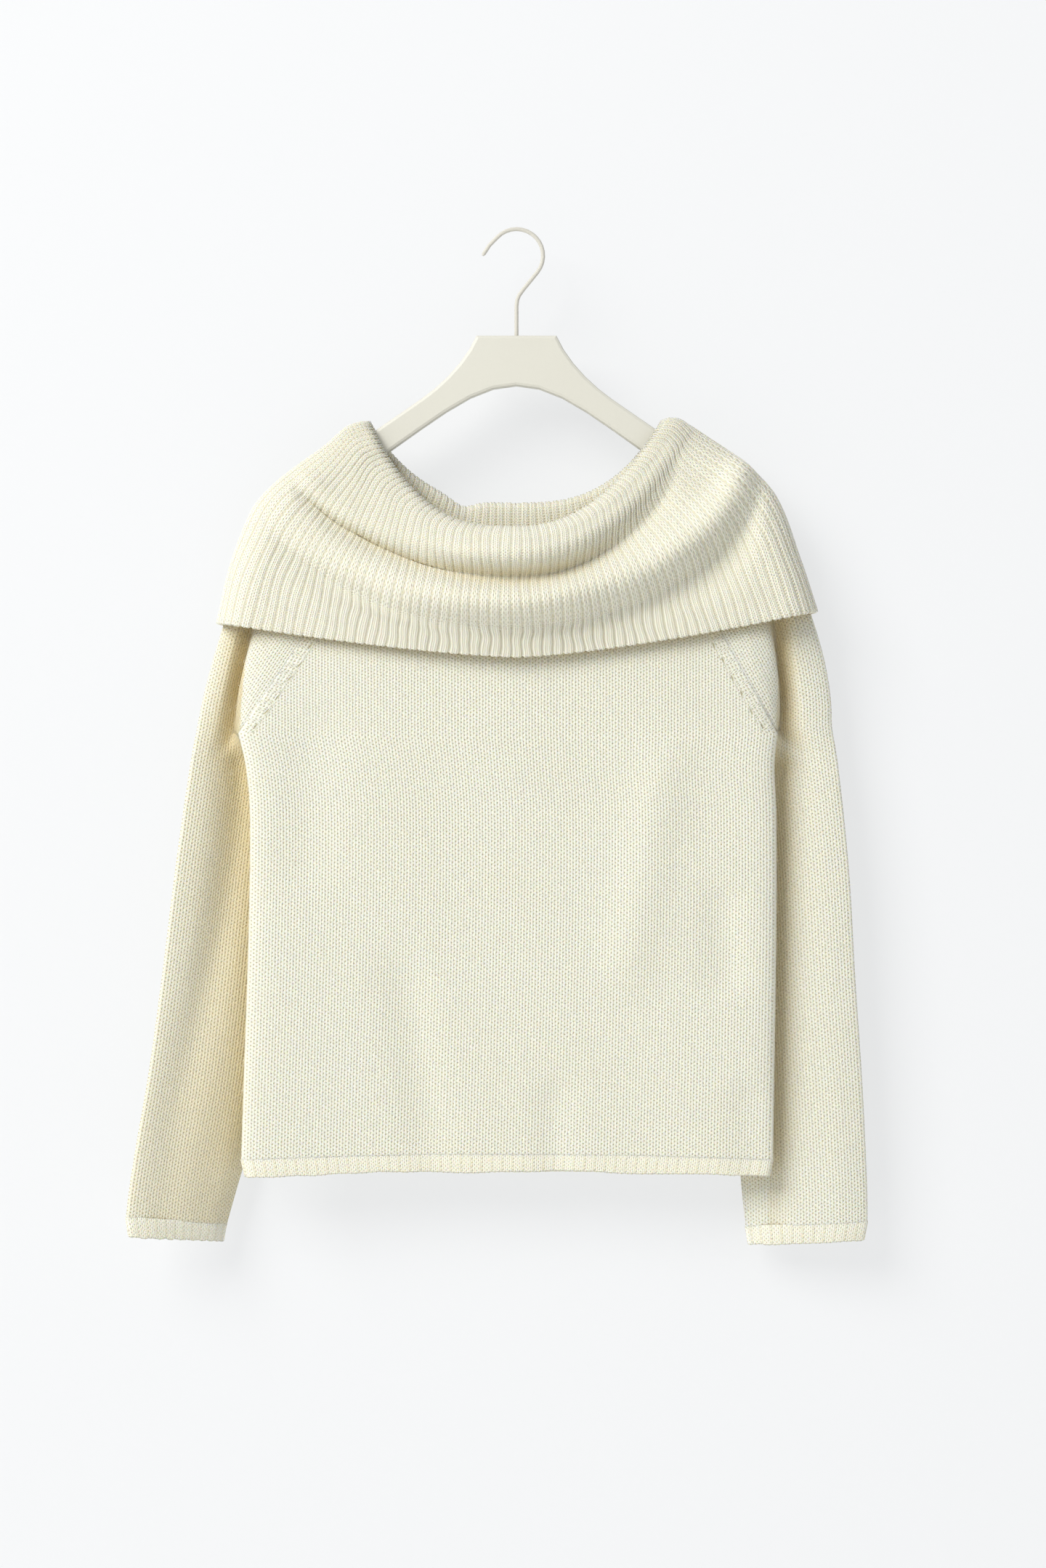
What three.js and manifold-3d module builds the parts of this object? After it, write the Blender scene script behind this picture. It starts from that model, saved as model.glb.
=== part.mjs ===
// A ribbed off-the-shoulder sweater on a flat hanger: plain knit front, back and raglan sleeves, a deep 2x1
// rib collar folded over outwards, and narrow ribbed bands at the hem and cuffs.
// Millimetres, +Z up, the front faces -Y, left is -X. The origin is the underside of the hook's crown, where
// a rail carries it. Every piece of cloth is a wall worked out from rings or sections.
import * as THREE from 'three';
import { mergeVertices } from 'three/addons/utils/BufferGeometryUtils.js';
import Module from 'manifold-3d';

const wasm = await Module();
wasm.setup();

// Cloth
const KNIT_WALL = 2.4;
const RIB_WALL = 3;
const BAND_WALL = 2.6;
const SEAM_GAP = 0.3;
const COLLAR_RIBS = 124;
const COLLAR_RISE = 1.2;
const HEM_RIBS = 182;
const CUFF_RIBS = 40;
const BAND_RISE = 0.6;
const BAND_HEIGHT = 12;

// Hanger
const PLATE = 12;
const PLATE_ROUND = 2.5;
const PLATE_TOP = { x: 33, z: -86.7 };
const PLATE_SIDE = [41, -106, 60, -126];
const ARM_START = { x: 78.6, z: -138.9 };
const ARCH_START = 105.2;
const ARCH_TOP = -128;
const ARCH_SIDE = { x: 60, z: -151, topX: 32 };
const ARM_WIDTH = 21;
const ARM_REACH = 202;
const SHOULDER_SLOPE = 0.69;
const WIRE = 3.4;
const WIRE_SIDES = 10;
const HOOK_RADIUS = 22;
const SOCKET_DEPTH = 14;
const SOCKET_CLEARANCE = 0.3;
const STEM = [[0, -70], [0, -62], [0.6, -57], [2.2, -53], [5.5, -48.4]];
const BOW = { from: -38, to: 137, steps: 15 };
const TIP = [[-22.3, -11.6], [-27, -18.7], [-28, -20.2]];
const TIP_SHARE = 0.55;

const mix = (a, b, f) => a + (b - a) * f;
const smooth = (f) => f * f * (3 - 2 * f);
const point = (x, y, z) => new THREE.Vector3(x, y, z);
const evenly = (steps, from, to) => Array.from({ length: steps + 1 }, (_, k) => mix(from, to, k / steps));

/** Rows of numbers as objects with the named columns. */
function table(names, rows) {
  const keys = names.split(' ');
  return rows.map((row) => Object.fromEntries(keys.map((key, k) => [key, row[k]])));
}

/** A table's values at t in its first column, along a smooth curve: a cubic between two rows, with each row's
 *  slope taken from its two neighbours. */
function along(rows, t) {
  const key = Object.keys(rows[0])[0];
  const last = rows.length - 1;
  let k = 0;
  while (k < last - 1 && t > rows[k + 1][key]) k += 1;
  const [a, b] = [rows[k], rows[k + 1]];
  const [before, after] = [rows[Math.max(k - 1, 0)], rows[Math.min(k + 2, last)]];
  const span = b[key] - a[key];
  const f = (t - a[key]) / span;
  const out = {};
  for (const name of Object.keys(a)) {
    const slopeA = (b[name] - before[name]) / (b[key] - before[key]);
    const slopeB = (after[name] - a[name]) / (after[key] - a[key]);
    out[name] = (2 * f ** 3 - 3 * f ** 2 + 1) * a[name] + (f ** 3 - 2 * f ** 2 + f) * span * slopeA
      + (3 * f ** 2 - 2 * f ** 3) * b[name] + (f ** 3 - f ** 2) * span * slopeB;
  }
  return out;
}

/** Points at equal distances along a finely sampled line. */
function resample(line, steps) {
  const reach = [0];
  for (let k = 1; k < line.length; k += 1) reach.push(reach[k - 1] + line[k].distanceTo(line[k - 1]));
  let k = 1;
  return evenly(steps, 0, reach[reach.length - 1]).map((want) => {
    while (k < line.length - 1 && reach[k] < want) k += 1;
    return line[k - 1].clone().lerp(line[k], (want - reach[k - 1]) / (reach[k] - reach[k - 1]));
  });
}

/** A named solid from points and triangles of point numbers. */
function solid(name, points, faces, material) {
  const geometry = new THREE.BufferGeometry();
  const values = points.flatMap((p) => p.toArray());
  geometry.setAttribute('position', new THREE.Float32BufferAttribute(values, 3));
  geometry.setIndex(faces.flat());
  geometry.computeVertexNormals();
  const mesh = new THREE.Mesh(geometry, material);
  mesh.name = name;
  return mesh;
}

// Collar: rings from the neck seam up the inner layer, over the fold, and down the outer layer with its two
// swags. at is the length knitted so far. A ring is given at its two shoulder tips, its front and back
// middles, and its faces beside the shoulders, where its plan turns within the length turn. sag says how late
// a side rises to its tip.
const COLLAR = table(
  'at leftX leftZ rightX rightZ sideY turn frontSideY frontY frontZ backSideY backY backZ '
    + 'sagLeft sagRight sagBack',
  [
    [0, -219, -262, 217, -258, 0, 12, -11.5, -20, -318, 11.5, 12, -300, 2.4, 2.4, 2.4],
    [31, -212.5, -231.5, 211.5, -230, 0, 12, -11.5, -21.5, -304, 11.5, 12, -288, 2.4, 2.4, 2.4],
    [46, -203, -219, 202.5, -218.5, 0, 11, -11.5, -22, -297, 11.5, 12, -281, 2.5, 2.4, 2.5],
    [67, -186, -205.5, 185.5, -205, 0, 11, -11.5, -23, -287, 11.5, 12, -271, 2.5, 2.4, 2.6],
    [99, -160, -187.5, 159, -187, 0, 11, -11.5, -24, -272, 11.5, 12, -256, 2.6, 2.3, 2.7],
    [123, -139, -173, 139, -172.5, 0, 11, -12, -26, -260, 12, 13, -240, 2.8, 2.3, 2.8],
    [147, -121, -160, 121.5, -158.5, 0, 12, -13, -34, -248.5, 12.5, 17, -225.5, 2.9, 2.25, 2.9],
    [165, -137, -162.5, 132, -157, 0, 15, -16, -46, -256, 15.5, 23, -232, 2.8, 2.2, 2.9],
    [190, -156, -178.5, 141, -162, 0, 16, -17, -50, -270, 16.5, 26, -244, 2.5, 2.2, 2.8],
    [226, -187, -201, 152, -169, 0, 17, -17.5, -36, -288, 17, 22, -264, 2.2, 2.25, 2.7],
    [251, -204.5, -216, 188, -194, 1, 20, -21, -52, -307, 20, 27, -284, 2.2, 1.9, 2.6],
    [270, -216.5, -231, 212, -219.5, 2, 22, -22, -36, -327, 21, 23, -302, 2.6, 2, 2.4],
    [318, -234, -275, 232, -270, 4, 24, -24, -31, -341, 24, 25, -324, 1.9, 1.8, 2],
    [368, -245.5, -323, 246.5, -313.5, 5, 26, -25, -30, -351.5, 26, 27, -346, 1.4, 1.4, 1.6],
  ],
);
const COLLAR_ROWS = [0.4, 31, 48, 80, 120, 147, 165, 190, 210, 226, 239, 252, 270, 318, 368];
const COLLAR_LENGTH = 368;
const QUARTER_STEPS = 96;
const PLAN_SPREAD = 0.75;

/** A quarter of a ring, from a middle to a shoulder tip: x runs out, y turns at the tip and z rises as a
 *  power. */
function quarter(ring, right, front) {
  const [x, z] = right ? [ring.rightX, ring.rightZ] : [ring.leftX, ring.leftZ];
  const [sideY, midY, midZ] = ['SideY', 'Y', 'Z'].map((word) => ring[(front ? 'front' : 'back') + word]);
  const sag = front ? (right ? ring.sagRight : ring.sagLeft) : ring.sagBack;
  const turn = ring.turn / Math.abs(x);
  return evenly(QUARTER_STEPS, 0, 1).map((t) => {
    const out = Math.sin(t * Math.PI / 2);
    const y = out > 1 - turn
      ? mix(ring.sideY, sideY, Math.sqrt(Math.max(0, 1 - ((out - 1 + turn) / turn) ** 2)))
      : mix(sideY, midY, smooth(((1 - turn - out) / (1 - turn)) ** PLAN_SPREAD));
    return point(x * out, y, mix(midZ, z, out ** sag));
  });
}

/** One whole ring of the collar, with perQuarter even steps in each quarter: from the front middle over the
 *  right shoulder, the back middle and the left shoulder. */
function collarRing(at, perQuarter) {
  const ring = along(COLLAR, at);
  const [rf, rb, lb, lf] = [[true, true], [true, false], [false, false], [false, true]]
    .map(([right, front]) => resample(quarter(ring, right, front), perQuarter));
  return [rf, rb.reverse(), lb, lf.reverse()].flatMap((part) => part.slice(0, -1));
}

/** A collar row's points and its directions out of the ribbed side. */
function collarRow(at, perQuarter) {
  const step = 0.5;
  const ring = collarRing(at, perQuarter);
  const below = collarRing(Math.max(at - step, 0), perQuarter);
  const above = collarRing(Math.min(at + step, COLLAR_LENGTH), perQuarter);
  const count = ring.length;
  const out = ring.map((p, k) => {
    const round = ring[(k + 1) % count].clone().sub(ring[(k + count - 1) % count]);
    return above[k].clone().sub(below[k]).cross(round).normalize();
  });
  return { ring, out };
}

/** Triangles between two closed rings of vertices, each with its share of the way round. */
function strip(faces, a, b) {
  let [i, j] = [0, 0];
  const share = (ring, k) => (k < ring.length ? ring[k].share : 1);
  while (i < a.length || j < b.length) {
    const onA = j >= b.length || (i < a.length && share(a, i + 1) <= share(b, j + 1));
    const third = onA ? a[(i + 1) % a.length] : b[(j + 1) % b.length];
    faces.push([a[i % a.length].id, third.id, b[j % b.length].id]);
    if (onA) i += 1;
    else j += 1;
  }
}

/** A ribbed tube wall, with ridges and furrows in turn on one side over a plain side that has fewer points.
 *  Each row has a ring's points and its directions out of the ribbed side. keep says which of a ring's points
 *  the plain side has. */
function ribbedTube(name, rows, { wall, rise, keep, material }) {
  const points = [];
  const vertex = (p, k, count) => ({ id: points.push(p) - 1, share: k / count });
  const ribbed = rows.map(({ ring, out }) => ring.map((p, k) => (
    vertex(p.clone().addScaledVector(out[k], wall / 2 + (k % 2 ? 0 : rise)), k, ring.length))));
  const plain = rows.map(({ ring, out }) => ring.flatMap((p, k) => (
    keep(k) ? [vertex(p.clone().addScaledVector(out[k], -wall / 2), k, ring.length)] : [])));
  const faces = [];
  const last = rows.length - 1;
  for (let r = 0; r < last; r += 1) {
    strip(faces, ribbed[r + 1], ribbed[r]);
    strip(faces, plain[r], plain[r + 1]);
  }
  strip(faces, ribbed[0], plain[0]);
  strip(faces, plain[last], ribbed[last]);
  return solid(name, points, faces, material);
}

// Body: sections of the front and back, from the hem band to the underarm. The sides stand forward of the
// back, because the sleeves are tucked behind them.
const BODY = table(
  'edgeZ leftX rightX sideY frontMidZ frontFaceY frontMidY backMidZ backFaceY backMidY',
  [
    [-767, -225.6, 210.2, -10, -763, -19, -10, -764.5, -1, 4],
    [-700, -223.5, 211.2, -9, -698, -20, -11, -698, 0, 5],
    [-577, -219.6, 213, -8, -576, -20, -12, -576, 1, 6],
    [-480, -218.6, 213, -8, -479, -19, -13, -479, 1, 7],
    [-442, -222, 211.5, -7.6, -442, -18.5, -14, -441, 1, 7.5],
    [-415, -228, 214, -7, -417, -18, -15, -412, 1, 8],
  ],
);
const ARMPIT = BODY[BODY.length - 1];
const BODY_ROWS = [-767, -725, -680, -630, -580, -530, -480, -445, -415];
const BODY_STEPS = 22;
const SIDE_SQUARE = 20;
const SIDE_ROUND = 2.5;
const YOKE_SAG = 2.4;
const RAGLAN_ROWS = [0.2, 0.4, 0.6, 0.8, 1];
// Where the raglan seams meet the neck seam, as shares of the way round the neck.
const NECK = { rightFront: 0.16, rightBack: 0.34, leftBack: 0.66, leftFront: 0.84 };
const NECK_STEPS = 100;
const neckRow = collarRow(0, NECK_STEPS);

// Soft folds in the body's faces: troughs pressed in by their depth, or ridges where it is negative.
const FRONT_FOLDS = table(
  'topX topZ bottomX bottomZ width depth',
  [
    [-168, -380, -176, -560, 26, 3],
    [-100, -575, -66, -790, 20, 4],
    [128, -400, 84, -650, 22, -4],
    [167, -530, 172, -640, 18, 3.5],
    [32, -690, 30, -800, 15, 3],
    [190, -690, 196, -800, 18, 3],
  ],
);
const BACK_FOLDS = table(
  'topX topZ bottomX bottomZ width depth',
  [
    [-150, -400, -120, -600, 24, -3.5],
    [120, -420, 150, -640, 24, -3.5],
    [-60, -600, -48, -790, 22, -4],
    [70, -650, 60, -790, 20, -3],
  ],
);

/** How far back the folds press a face at x and z: a bell across each fold that fades at its ends. */
function folded(folds, x, z) {
  return folds.reduce((sum, fold) => {
    const f = (z - fold.topZ) / (fold.bottomZ - fold.topZ);
    const across = (x - mix(fold.topX, fold.bottomX, f)) / fold.width;
    const fade = smooth(Math.min(1, Math.max(0, Math.min(f, 1 - f) * 4)));
    return sum + fold.depth * fade * Math.exp(-across * across);
  }, 0);
}

/** The neck seam's point and its direction out of the body, at a share of the way round. */
function neck(share) {
  const count = neckRow.ring.length;
  const place = (((share % 1) + 1) % 1) * count;
  const k = Math.floor(place + 1e-9);
  const between = (line) => line[k % count].clone().lerp(line[(k + 1) % count], place - k);
  return { at: between(neckRow.ring), out: between(neckRow.out).normalize().negate() };
}

/** A raglan seam's point, f of the way from the underarm to the neck. It leaves the side seam's y quickly. */
function raglan(right, front, f) {
  const corner = neck(NECK[(right ? 'right' : 'left') + (front ? 'Front' : 'Back')]).at;
  const faceY = front ? ARMPIT.frontFaceY : ARMPIT.backFaceY;
  const y = mix(mix(ARMPIT.sideY, faceY, 1 - (1 - f) ** 4), corner.y, f ** 2);
  return point(mix(right ? ARMPIT.rightX : ARMPIT.leftX, corner.x, f), y, mix(ARMPIT.edgeZ, corner.z, f));
}

/** How far across a panel its columns lie, from -1 to 1, closer together towards the edges. */
const COLUMNS = evenly(BODY_STEPS, -1, 1).map((t) => Math.sin(t * Math.PI / 2));

/** A row of the front or back between its edges: the face bows from the middle, rounds off into the side
 *  seams and sags. */
function panelRow(left, right, faceY, midY, midZ, folds) {
  return COLUMNS.map((a) => {
    const edge = left.clone().lerp(right, (a + 1) / 2);
    const full = Math.max(0, 1 - Math.abs(a) ** SIDE_SQUARE) ** (1 / SIDE_ROUND);
    const z = mix(midZ, edge.z, Math.abs(a) ** YOKE_SAG);
    const face = mix(midY, faceY, a * a) + folded(folds, edge.x, z);
    return point(edge.x, mix(edge.y, face, full), z);
  });
}

/** The front's or back's row at the height edgeZ of its side seams, from left to right. */
function bodyRow(front, edgeZ) {
  const s = along(BODY, edgeZ);
  const [left, right] = [point(s.leftX, s.sideY, edgeZ), point(s.rightX, s.sideY, edgeZ)];
  return front
    ? panelRow(left, right, s.frontFaceY, s.frontMidY, s.frontMidZ, FRONT_FOLDS)
    : panelRow(left, right, s.backFaceY, s.backMidY, s.backMidZ, BACK_FOLDS);
}

/** The shares of the neck seam that the front's or back's columns get, and those of the sleeves' columns. */
function panelShares(front) {
  const [from, to] = front ? [NECK.leftFront - 1, NECK.rightFront] : [NECK.leftBack, NECK.rightBack];
  return COLUMNS.map((a) => mix(from, to, (a + 1) / 2));
}

/** The front's or back's rows, from the hem band to the neck. The yoke's rows take up the neck seam's own
 *  curve more and more. */
function panelRows(front) {
  const rows = BODY_ROWS.map((z) => bodyRow(front, z));
  const name = front ? 'front' : 'back';
  const [faceY, midY, midZ] = ['FaceY', 'MidY', 'MidZ'].map((word) => ARMPIT[name + word]);
  const seam = panelShares(front).map((share) => neck(share).at);
  const middle = seam[BODY_STEPS / 2];
  const yoke = (f) => {
    const [left, right] = [raglan(false, front, f), raglan(true, front, f)];
    const bow = mix(faceY, (left.y + right.y) / 2, f);
    return panelRow(left, right, bow, mix(midY, middle.y, f), mix(midZ, middle.z, f), []);
  };
  const plain = yoke(1);
  const pull = seam.map((p, c) => (c > 0 && c < BODY_STEPS ? p.clone().sub(plain[c]) : point(0, 0, 0)));
  for (const f of RAGLAN_ROWS) rows.push(yoke(f).map((p, c) => p.addScaledVector(pull[c], f * f)));
  return rows;
}

// Sleeves: sections from the cuff's edge up to the armpit. The outer edge stands forward and the inner edge
// is tucked behind the body. half is half the sleeve's depth, and dent is how far its front face is pressed
// back.
const SLEEVES = {
  left: table(
    'z outerX outerY outerZ innerX innerY half dent',
    [
      [-837, -318, -20, -827, -244.5, 26, 7, 0],
      [-824, -319.5, -20, -814, -242.5, 26, 9, 1],
      [-770, -312.5, -19, -762, -227, 25, 10, 3],
      [-700, -301, -17, -694, -208, 24, 10, 5],
      [-620, -290.5, -14, -616, -198, 23, 10, 7],
      [-540, -281, -11, -537, -200, 22, 10, 8],
      [-480, -273, -7, -476, -206, 21, 10, 8],
      [-438, -267, -2, -434, -219, 14, 9, 7],
    ],
  ),
  right: table(
    'z outerX outerY outerZ innerX innerY half dent',
    [
      [-839, 287.5, 6, -833, 193, 22, 7, -1],
      [-826, 289.5, 6, -820, 191.5, 22, 9, 0],
      [-770, 288, 5, -766, 186, 22, 10, 1],
      [-700, 284.5, 4, -698, 184, 22, 10, 2],
      [-620, 279, 3, -618, 183, 22, 10, 3],
      [-540, 274.5, 3, -538, 186, 21, 10, 4],
      [-480, 269, 4, -477, 192, 20, 10, 5],
      [-438, 264, 6, -434, 219, 9, 8, 4],
    ],
  ),
};
const SLEEVE_ROWS = [-770, -700, -620, -550, -495, -460, -438];

// Above the armpit a sleeve's row runs from the front raglan seam over the fold beside the body, into a
// crease behind it, out to the outer edge and back to a tuck at the back seam. f is the way up the seam.
const SHOULDER_POINTS = ['face', 'fold', 'crease', 'front', 'outer', 'back', 'backFace', 'tuck'];
const SHOULDER_COLUMNS = `f ${SHOULDER_POINTS.map((name) => `${name}X ${name}Y`).join(' ')} outerZ`;
const SHOULDERS = {
  left: table(
    SHOULDER_COLUMNS,
    [
      [0, -231, -4, -235, 1, -241, 6, -251, 1, -262.5, 4, -248, 19, -216, 20, -229.5, 5, -408],
      [0.45, -209, -15.5, -222, -9, -225, 8, -238, 0, -249.5, 6, -238, 20, -206, 17, -196, 9, -352],
    ],
  ),
  right: table(
    SHOULDER_COLUMNS,
    [
      [0, 216.5, -5, 220, 0, 224, 6, 241, 3, 260, 8, 245, 20, 210, 20, 218, 5, -408],
      [0.45, 200, -15.5, 212, -9, 215.5, 8, 231, 1, 252, 7, 238, 20, 200, 18, 189, 10, -347],
    ],
  ),
};
// The points round a sleeve, from the front seam to the back seam: how far from the outer edge to the inner
// one, how far from the seams up to the outer edge, the share of the sleeve's neck seam, the steps to the
// next point, and the face, -1 for the front.
const AROUND = table(
  'across rise neckShare steps side',
  [
    [1, 0, 0, 3, 0],
    [0.84, 0.12, 0.14, 2, -1],
    [0.64, 0.3, 0.27, 2, -1],
    [0.44, 0.45, 0.37, 2, -1],
    [0.17, 0.8, 0.45, 3, -1],
    [0, 1, 0.5, 3, 0],
    [0.3, 0.6, 0.62, 2, 1],
    [0.72, 0.15, 0.82, 2, 1],
    [0.95, 0.04, 0.94, 2, 1],
    [1, 0, 1, 0, 0],
  ],
);
const LAST_KNOT = AROUND.length - 1;

/** The smooth line through the points of a sleeve's row. */
function sleeveLine(knots) {
  const curve = new THREE.CatmullRomCurve3(knots, false, 'centripetal');
  const line = AROUND.slice(0, LAST_KNOT).flatMap(({ steps }, k) => (
    evenly(steps, k, k + 1).slice(0, -1).map((place) => curve.getPoint(place / LAST_KNOT))));
  return [...line, knots[LAST_KNOT].clone()];
}

/** A sleeve's row below the armpit, a dented leaf between its outer and inner edges. */
function tubeRow(side, z) {
  const s = along(SLEEVES[side], z);
  const outer = point(s.outerX, s.outerY, s.outerZ);
  const inner = point(s.innerX, s.innerY, z);
  const away = side === 'left' ? 1 : -1;
  const back = point(outer.y - inner.y, inner.x - outer.x, 0).normalize().multiplyScalar(away);
  return sleeveLine(AROUND.map((knot) => {
    const leaf = 2 * Math.sqrt(knot.across * (1 - knot.across));
    const depth = knot.side * s.half * leaf + (knot.side < 0 ? s.dent * leaf * leaf : 0);
    return outer.clone().lerp(inner, knot.across).addScaledVector(back, depth);
  }));
}

/** The shares of the neck seam that a sleeve's columns get. */
function sleeveShares(side) {
  const shares = AROUND.slice(0, LAST_KNOT).flatMap(({ steps, neckShare }, k) => (
    evenly(steps, neckShare, AROUND[k + 1].neckShare).slice(0, -1)));
  return [...shares, 1].map((share) => mix(NECK[side + 'Front'], NECK[side + 'Back'], share));
}

/** A sleeve's row above the armpit: of second order in f through the armpit's row, a middle row and the
 *  neck. */
function shoulderRow(side, f) {
  if (f === 1) return sleeveShares(side).map((share) => neck(share).at);
  const right = side === 'right';
  const [low, middle] = SHOULDERS[side].map((row) => {
    const seam = raglan(right, true, row.f);
    return SHOULDER_POINTS.map((name, k) => (
      point(row[name + 'X'], row[name + 'Y'], mix(seam.z, row.outerZ, AROUND[k + 1].rise))));
  });
  const top = SHOULDER_POINTS.map((_, k) => (
    neck(mix(NECK[side + 'Front'], NECK[side + 'Back'], AROUND[k + 1].neckShare)).at));
  const m = SHOULDERS[side][1].f;
  const [a, b, c] = [(f - m) * (f - 1) / m, f * (f - 1) / (m * (m - 1)), f * (f - m) / (1 - m)];
  const between = low.map((p, k) => (
    p.clone().multiplyScalar(a).addScaledVector(middle[k], b).addScaledVector(top[k], c)));
  return sleeveLine([raglan(right, true, f), ...between, raglan(right, false, f)]);
}

/** A sleeve's rows, from the cuff to the neck. They start and end on the raglan seams, and close below
 *  them. */
function sleeveRows(side) {
  const top = SLEEVES[side][1].z;
  return [top, ...SLEEVE_ROWS].map((z) => tubeRow(side, z))
    .concat([0, ...RAGLAN_ROWS].map((f) => shoulderRow(side, f)));
}

const nameOf = (p) => p.toArray().map((v) => v.toFixed(3)).join(' ');

/** A piece of the skin from rows of points: its points, and its triangles, wound round the way out of the
 *  cloth. */
function piece(rows, flip) {
  const ids = new Map();
  const points = [];
  const grid = rows.map((row) => row.map((p) => {
    const name = nameOf(p);
    if (!ids.has(name)) ids.set(name, points.push(p) - 1);
    return ids.get(name);
  }));
  const faces = [];
  for (let r = 0; r + 1 < grid.length; r += 1) {
    for (let c = 0; c + 1 < grid[r].length; c += 1) {
      const [a, b, d, e] = [grid[r][c], grid[r][c + 1], grid[r + 1][c + 1], grid[r + 1][c]];
      faces.push([a, b, d], [a, d, e]);
    }
  }
  return { points, faces: flip ? faces.map(([a, b, c]) => [a, c, b]) : faces };
}

/** The direction out of the cloth at every point of the skin, by the point's name, so that neighbours share
 *  the directions of their seam. The neck seam's are the collar's own. */
function skinDirections(pieces) {
  const out = new Map();
  for (const { points, faces } of pieces) {
    for (const [a, b, c] of faces) {
      const normal = points[b].clone().sub(points[a]).cross(points[c].clone().sub(points[a]));
      for (const name of [a, b, c].map((id) => nameOf(points[id]))) {
        out.set(name, (out.get(name) ?? point(0, 0, 0)).add(normal));
      }
    }
  }
  for (const normal of out.values()) normal.normalize();
  const shares = [true, false].map(panelShares).concat(['left', 'right'].map(sleeveShares));
  for (const seam of shares.flat().map(neck)) out.set(nameOf(seam.at), seam.out);
  return out;
}

/** A piece of the skin as a wall: its edges are drawn in by half a seam's gap, and joined by a rim. */
function wall(name, { points, faces }, directions, material) {
  const open = new Map();
  for (const [a, b, c] of faces) {
    for (const [from, to, far] of [[a, b, c], [b, c, a], [c, a, b]]) {
      if (!open.delete(to + ' ' + from)) open.set(from + ' ' + to, [from, to, far]);
    }
  }
  const draw = points.map(() => []);
  for (const [from, to, far] of open.values()) {
    const edge = points[to].clone().sub(points[from]).normalize();
    const inwards = points[far].clone().sub(points[from]);
    inwards.addScaledVector(edge, -inwards.dot(edge)).normalize();
    for (const id of [from, to]) draw[id].push(inwards);
  }
  const skin = points.map((p, id) => {
    if (!draw[id].length) return p;
    const [u, v] = draw[id];
    return p.clone().addScaledVector(u.clone().add(v), SEAM_GAP / 2 / Math.max(0.5, 1 + u.dot(v)));
  });
  const shell = [1, -1].flatMap((side) => skin.map((p, id) => (
    p.clone().addScaledVector(directions.get(nameOf(points[id])), side * KNIT_WALL / 2))));
  const count = points.length;
  const all = faces.flatMap(([a, b, c]) => [[a, b, c], [a + count, c + count, b + count]]);
  for (const [from, to] of open.values()) {
    if (nameOf(points[from]) < nameOf(points[to])) {
      all.push([from, from + count, to + count], [from, to + count, to]);
    } else {
      all.push([from, from + count, to], [to, from + count, to + count]);
    }
  }
  return solid(name, shell, all, material);
}

/** A ribbed band below an edge of the skin, half a seam's gap down, from its upper and lower rings. The rings
 *  run from the left over the front to the right. */
function band(name, upper, lower, ribs, steps, material) {
  const [high, low] = [upper, lower].map((ring) => resample(ring, ribs * 2).slice(0, -1));
  const top = high.map((p, k) => (
    p.clone().addScaledVector(low[k].clone().sub(p).normalize(), SEAM_GAP / 2)));
  const rows = [low, top].map((ring) => ({
    ring,
    out: ring.map((_, k) => {
      const count = ring.length;
      const round = ring[(k + 1) % count].clone().sub(ring[(k + count - 1) % count]);
      return round.cross(top[k].clone().sub(low[k])).normalize();
    }),
  }));
  return ribbedTube(name, rows.reverse(), {
    wall: BAND_WALL, rise: BAND_RISE, keep: (k) => k % steps === 0, material,
  });
}

/** The body's closed ring at the height edgeZ of its side seams, lowered by drop. */
function bodyRing(edgeZ, drop) {
  const front = bodyRow(true, edgeZ);
  const back = bodyRow(false, edgeZ).reverse();
  return [...front, ...back.slice(1)].map((p) => p.clone().add(point(0, 0, -drop)));
}

/** The plate's outline: a square top, hollow sides down to straight sloping arms with round ends, and an
 *  arch between the arms' undersides. */
function plateOutline() {
  const shape = new THREE.Shape();
  const radius = ARM_WIDTH / 2;
  const [down, away] = [1, SHOULDER_SLOPE].map((v) => v / Math.hypot(1, SHOULDER_SLOPE));
  const endX = ARM_REACH - radius;
  const endZ = ARM_START.z - SHOULDER_SLOPE * (endX + radius * away - ARM_START.x) - radius * down;
  const upper = Math.atan2(down, away);
  const archZ = endZ - radius * down + (endX - radius * away - ARCH_START) * SHOULDER_SLOPE;
  const [topX, topZ, sideX, sideZ] = PLATE_SIDE;
  shape.moveTo(-PLATE_TOP.x, PLATE_TOP.z);
  shape.lineTo(PLATE_TOP.x, PLATE_TOP.z);
  shape.bezierCurveTo(topX, topZ, sideX, sideZ, ARM_START.x, ARM_START.z);
  shape.absarc(endX, endZ, radius, upper, upper - Math.PI, true);
  shape.lineTo(ARCH_START, archZ);
  shape.bezierCurveTo(ARCH_SIDE.x, ARCH_SIDE.z, ARCH_SIDE.topX, ARCH_TOP, 0, ARCH_TOP);
  shape.bezierCurveTo(-ARCH_SIDE.topX, ARCH_TOP, -ARCH_SIDE.x, ARCH_SIDE.z, -ARCH_START, archZ);
  shape.absarc(-endX, endZ, radius, -upper, Math.PI - upper, true);
  shape.lineTo(-ARM_START.x, ARM_START.z);
  shape.bezierCurveTo(-sideX, sideZ, -topX, topZ, -PLATE_TOP.x, PLATE_TOP.z);
  return shape;
}

/** A geometry as a solid of the boolean library. */
function toManifold(geometry) {
  const bare = new THREE.BufferGeometry().setAttribute('position', geometry.getAttribute('position'));
  if (geometry.index) bare.setIndex(geometry.index);
  const merged = mergeVertices(bare, 1e-3);
  return new wasm.Manifold(new wasm.Mesh({
    numProp: 3,
    vertProperties: merged.attributes.position.array,
    triVerts: new Uint32Array(merged.index.array),
  }));
}

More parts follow.
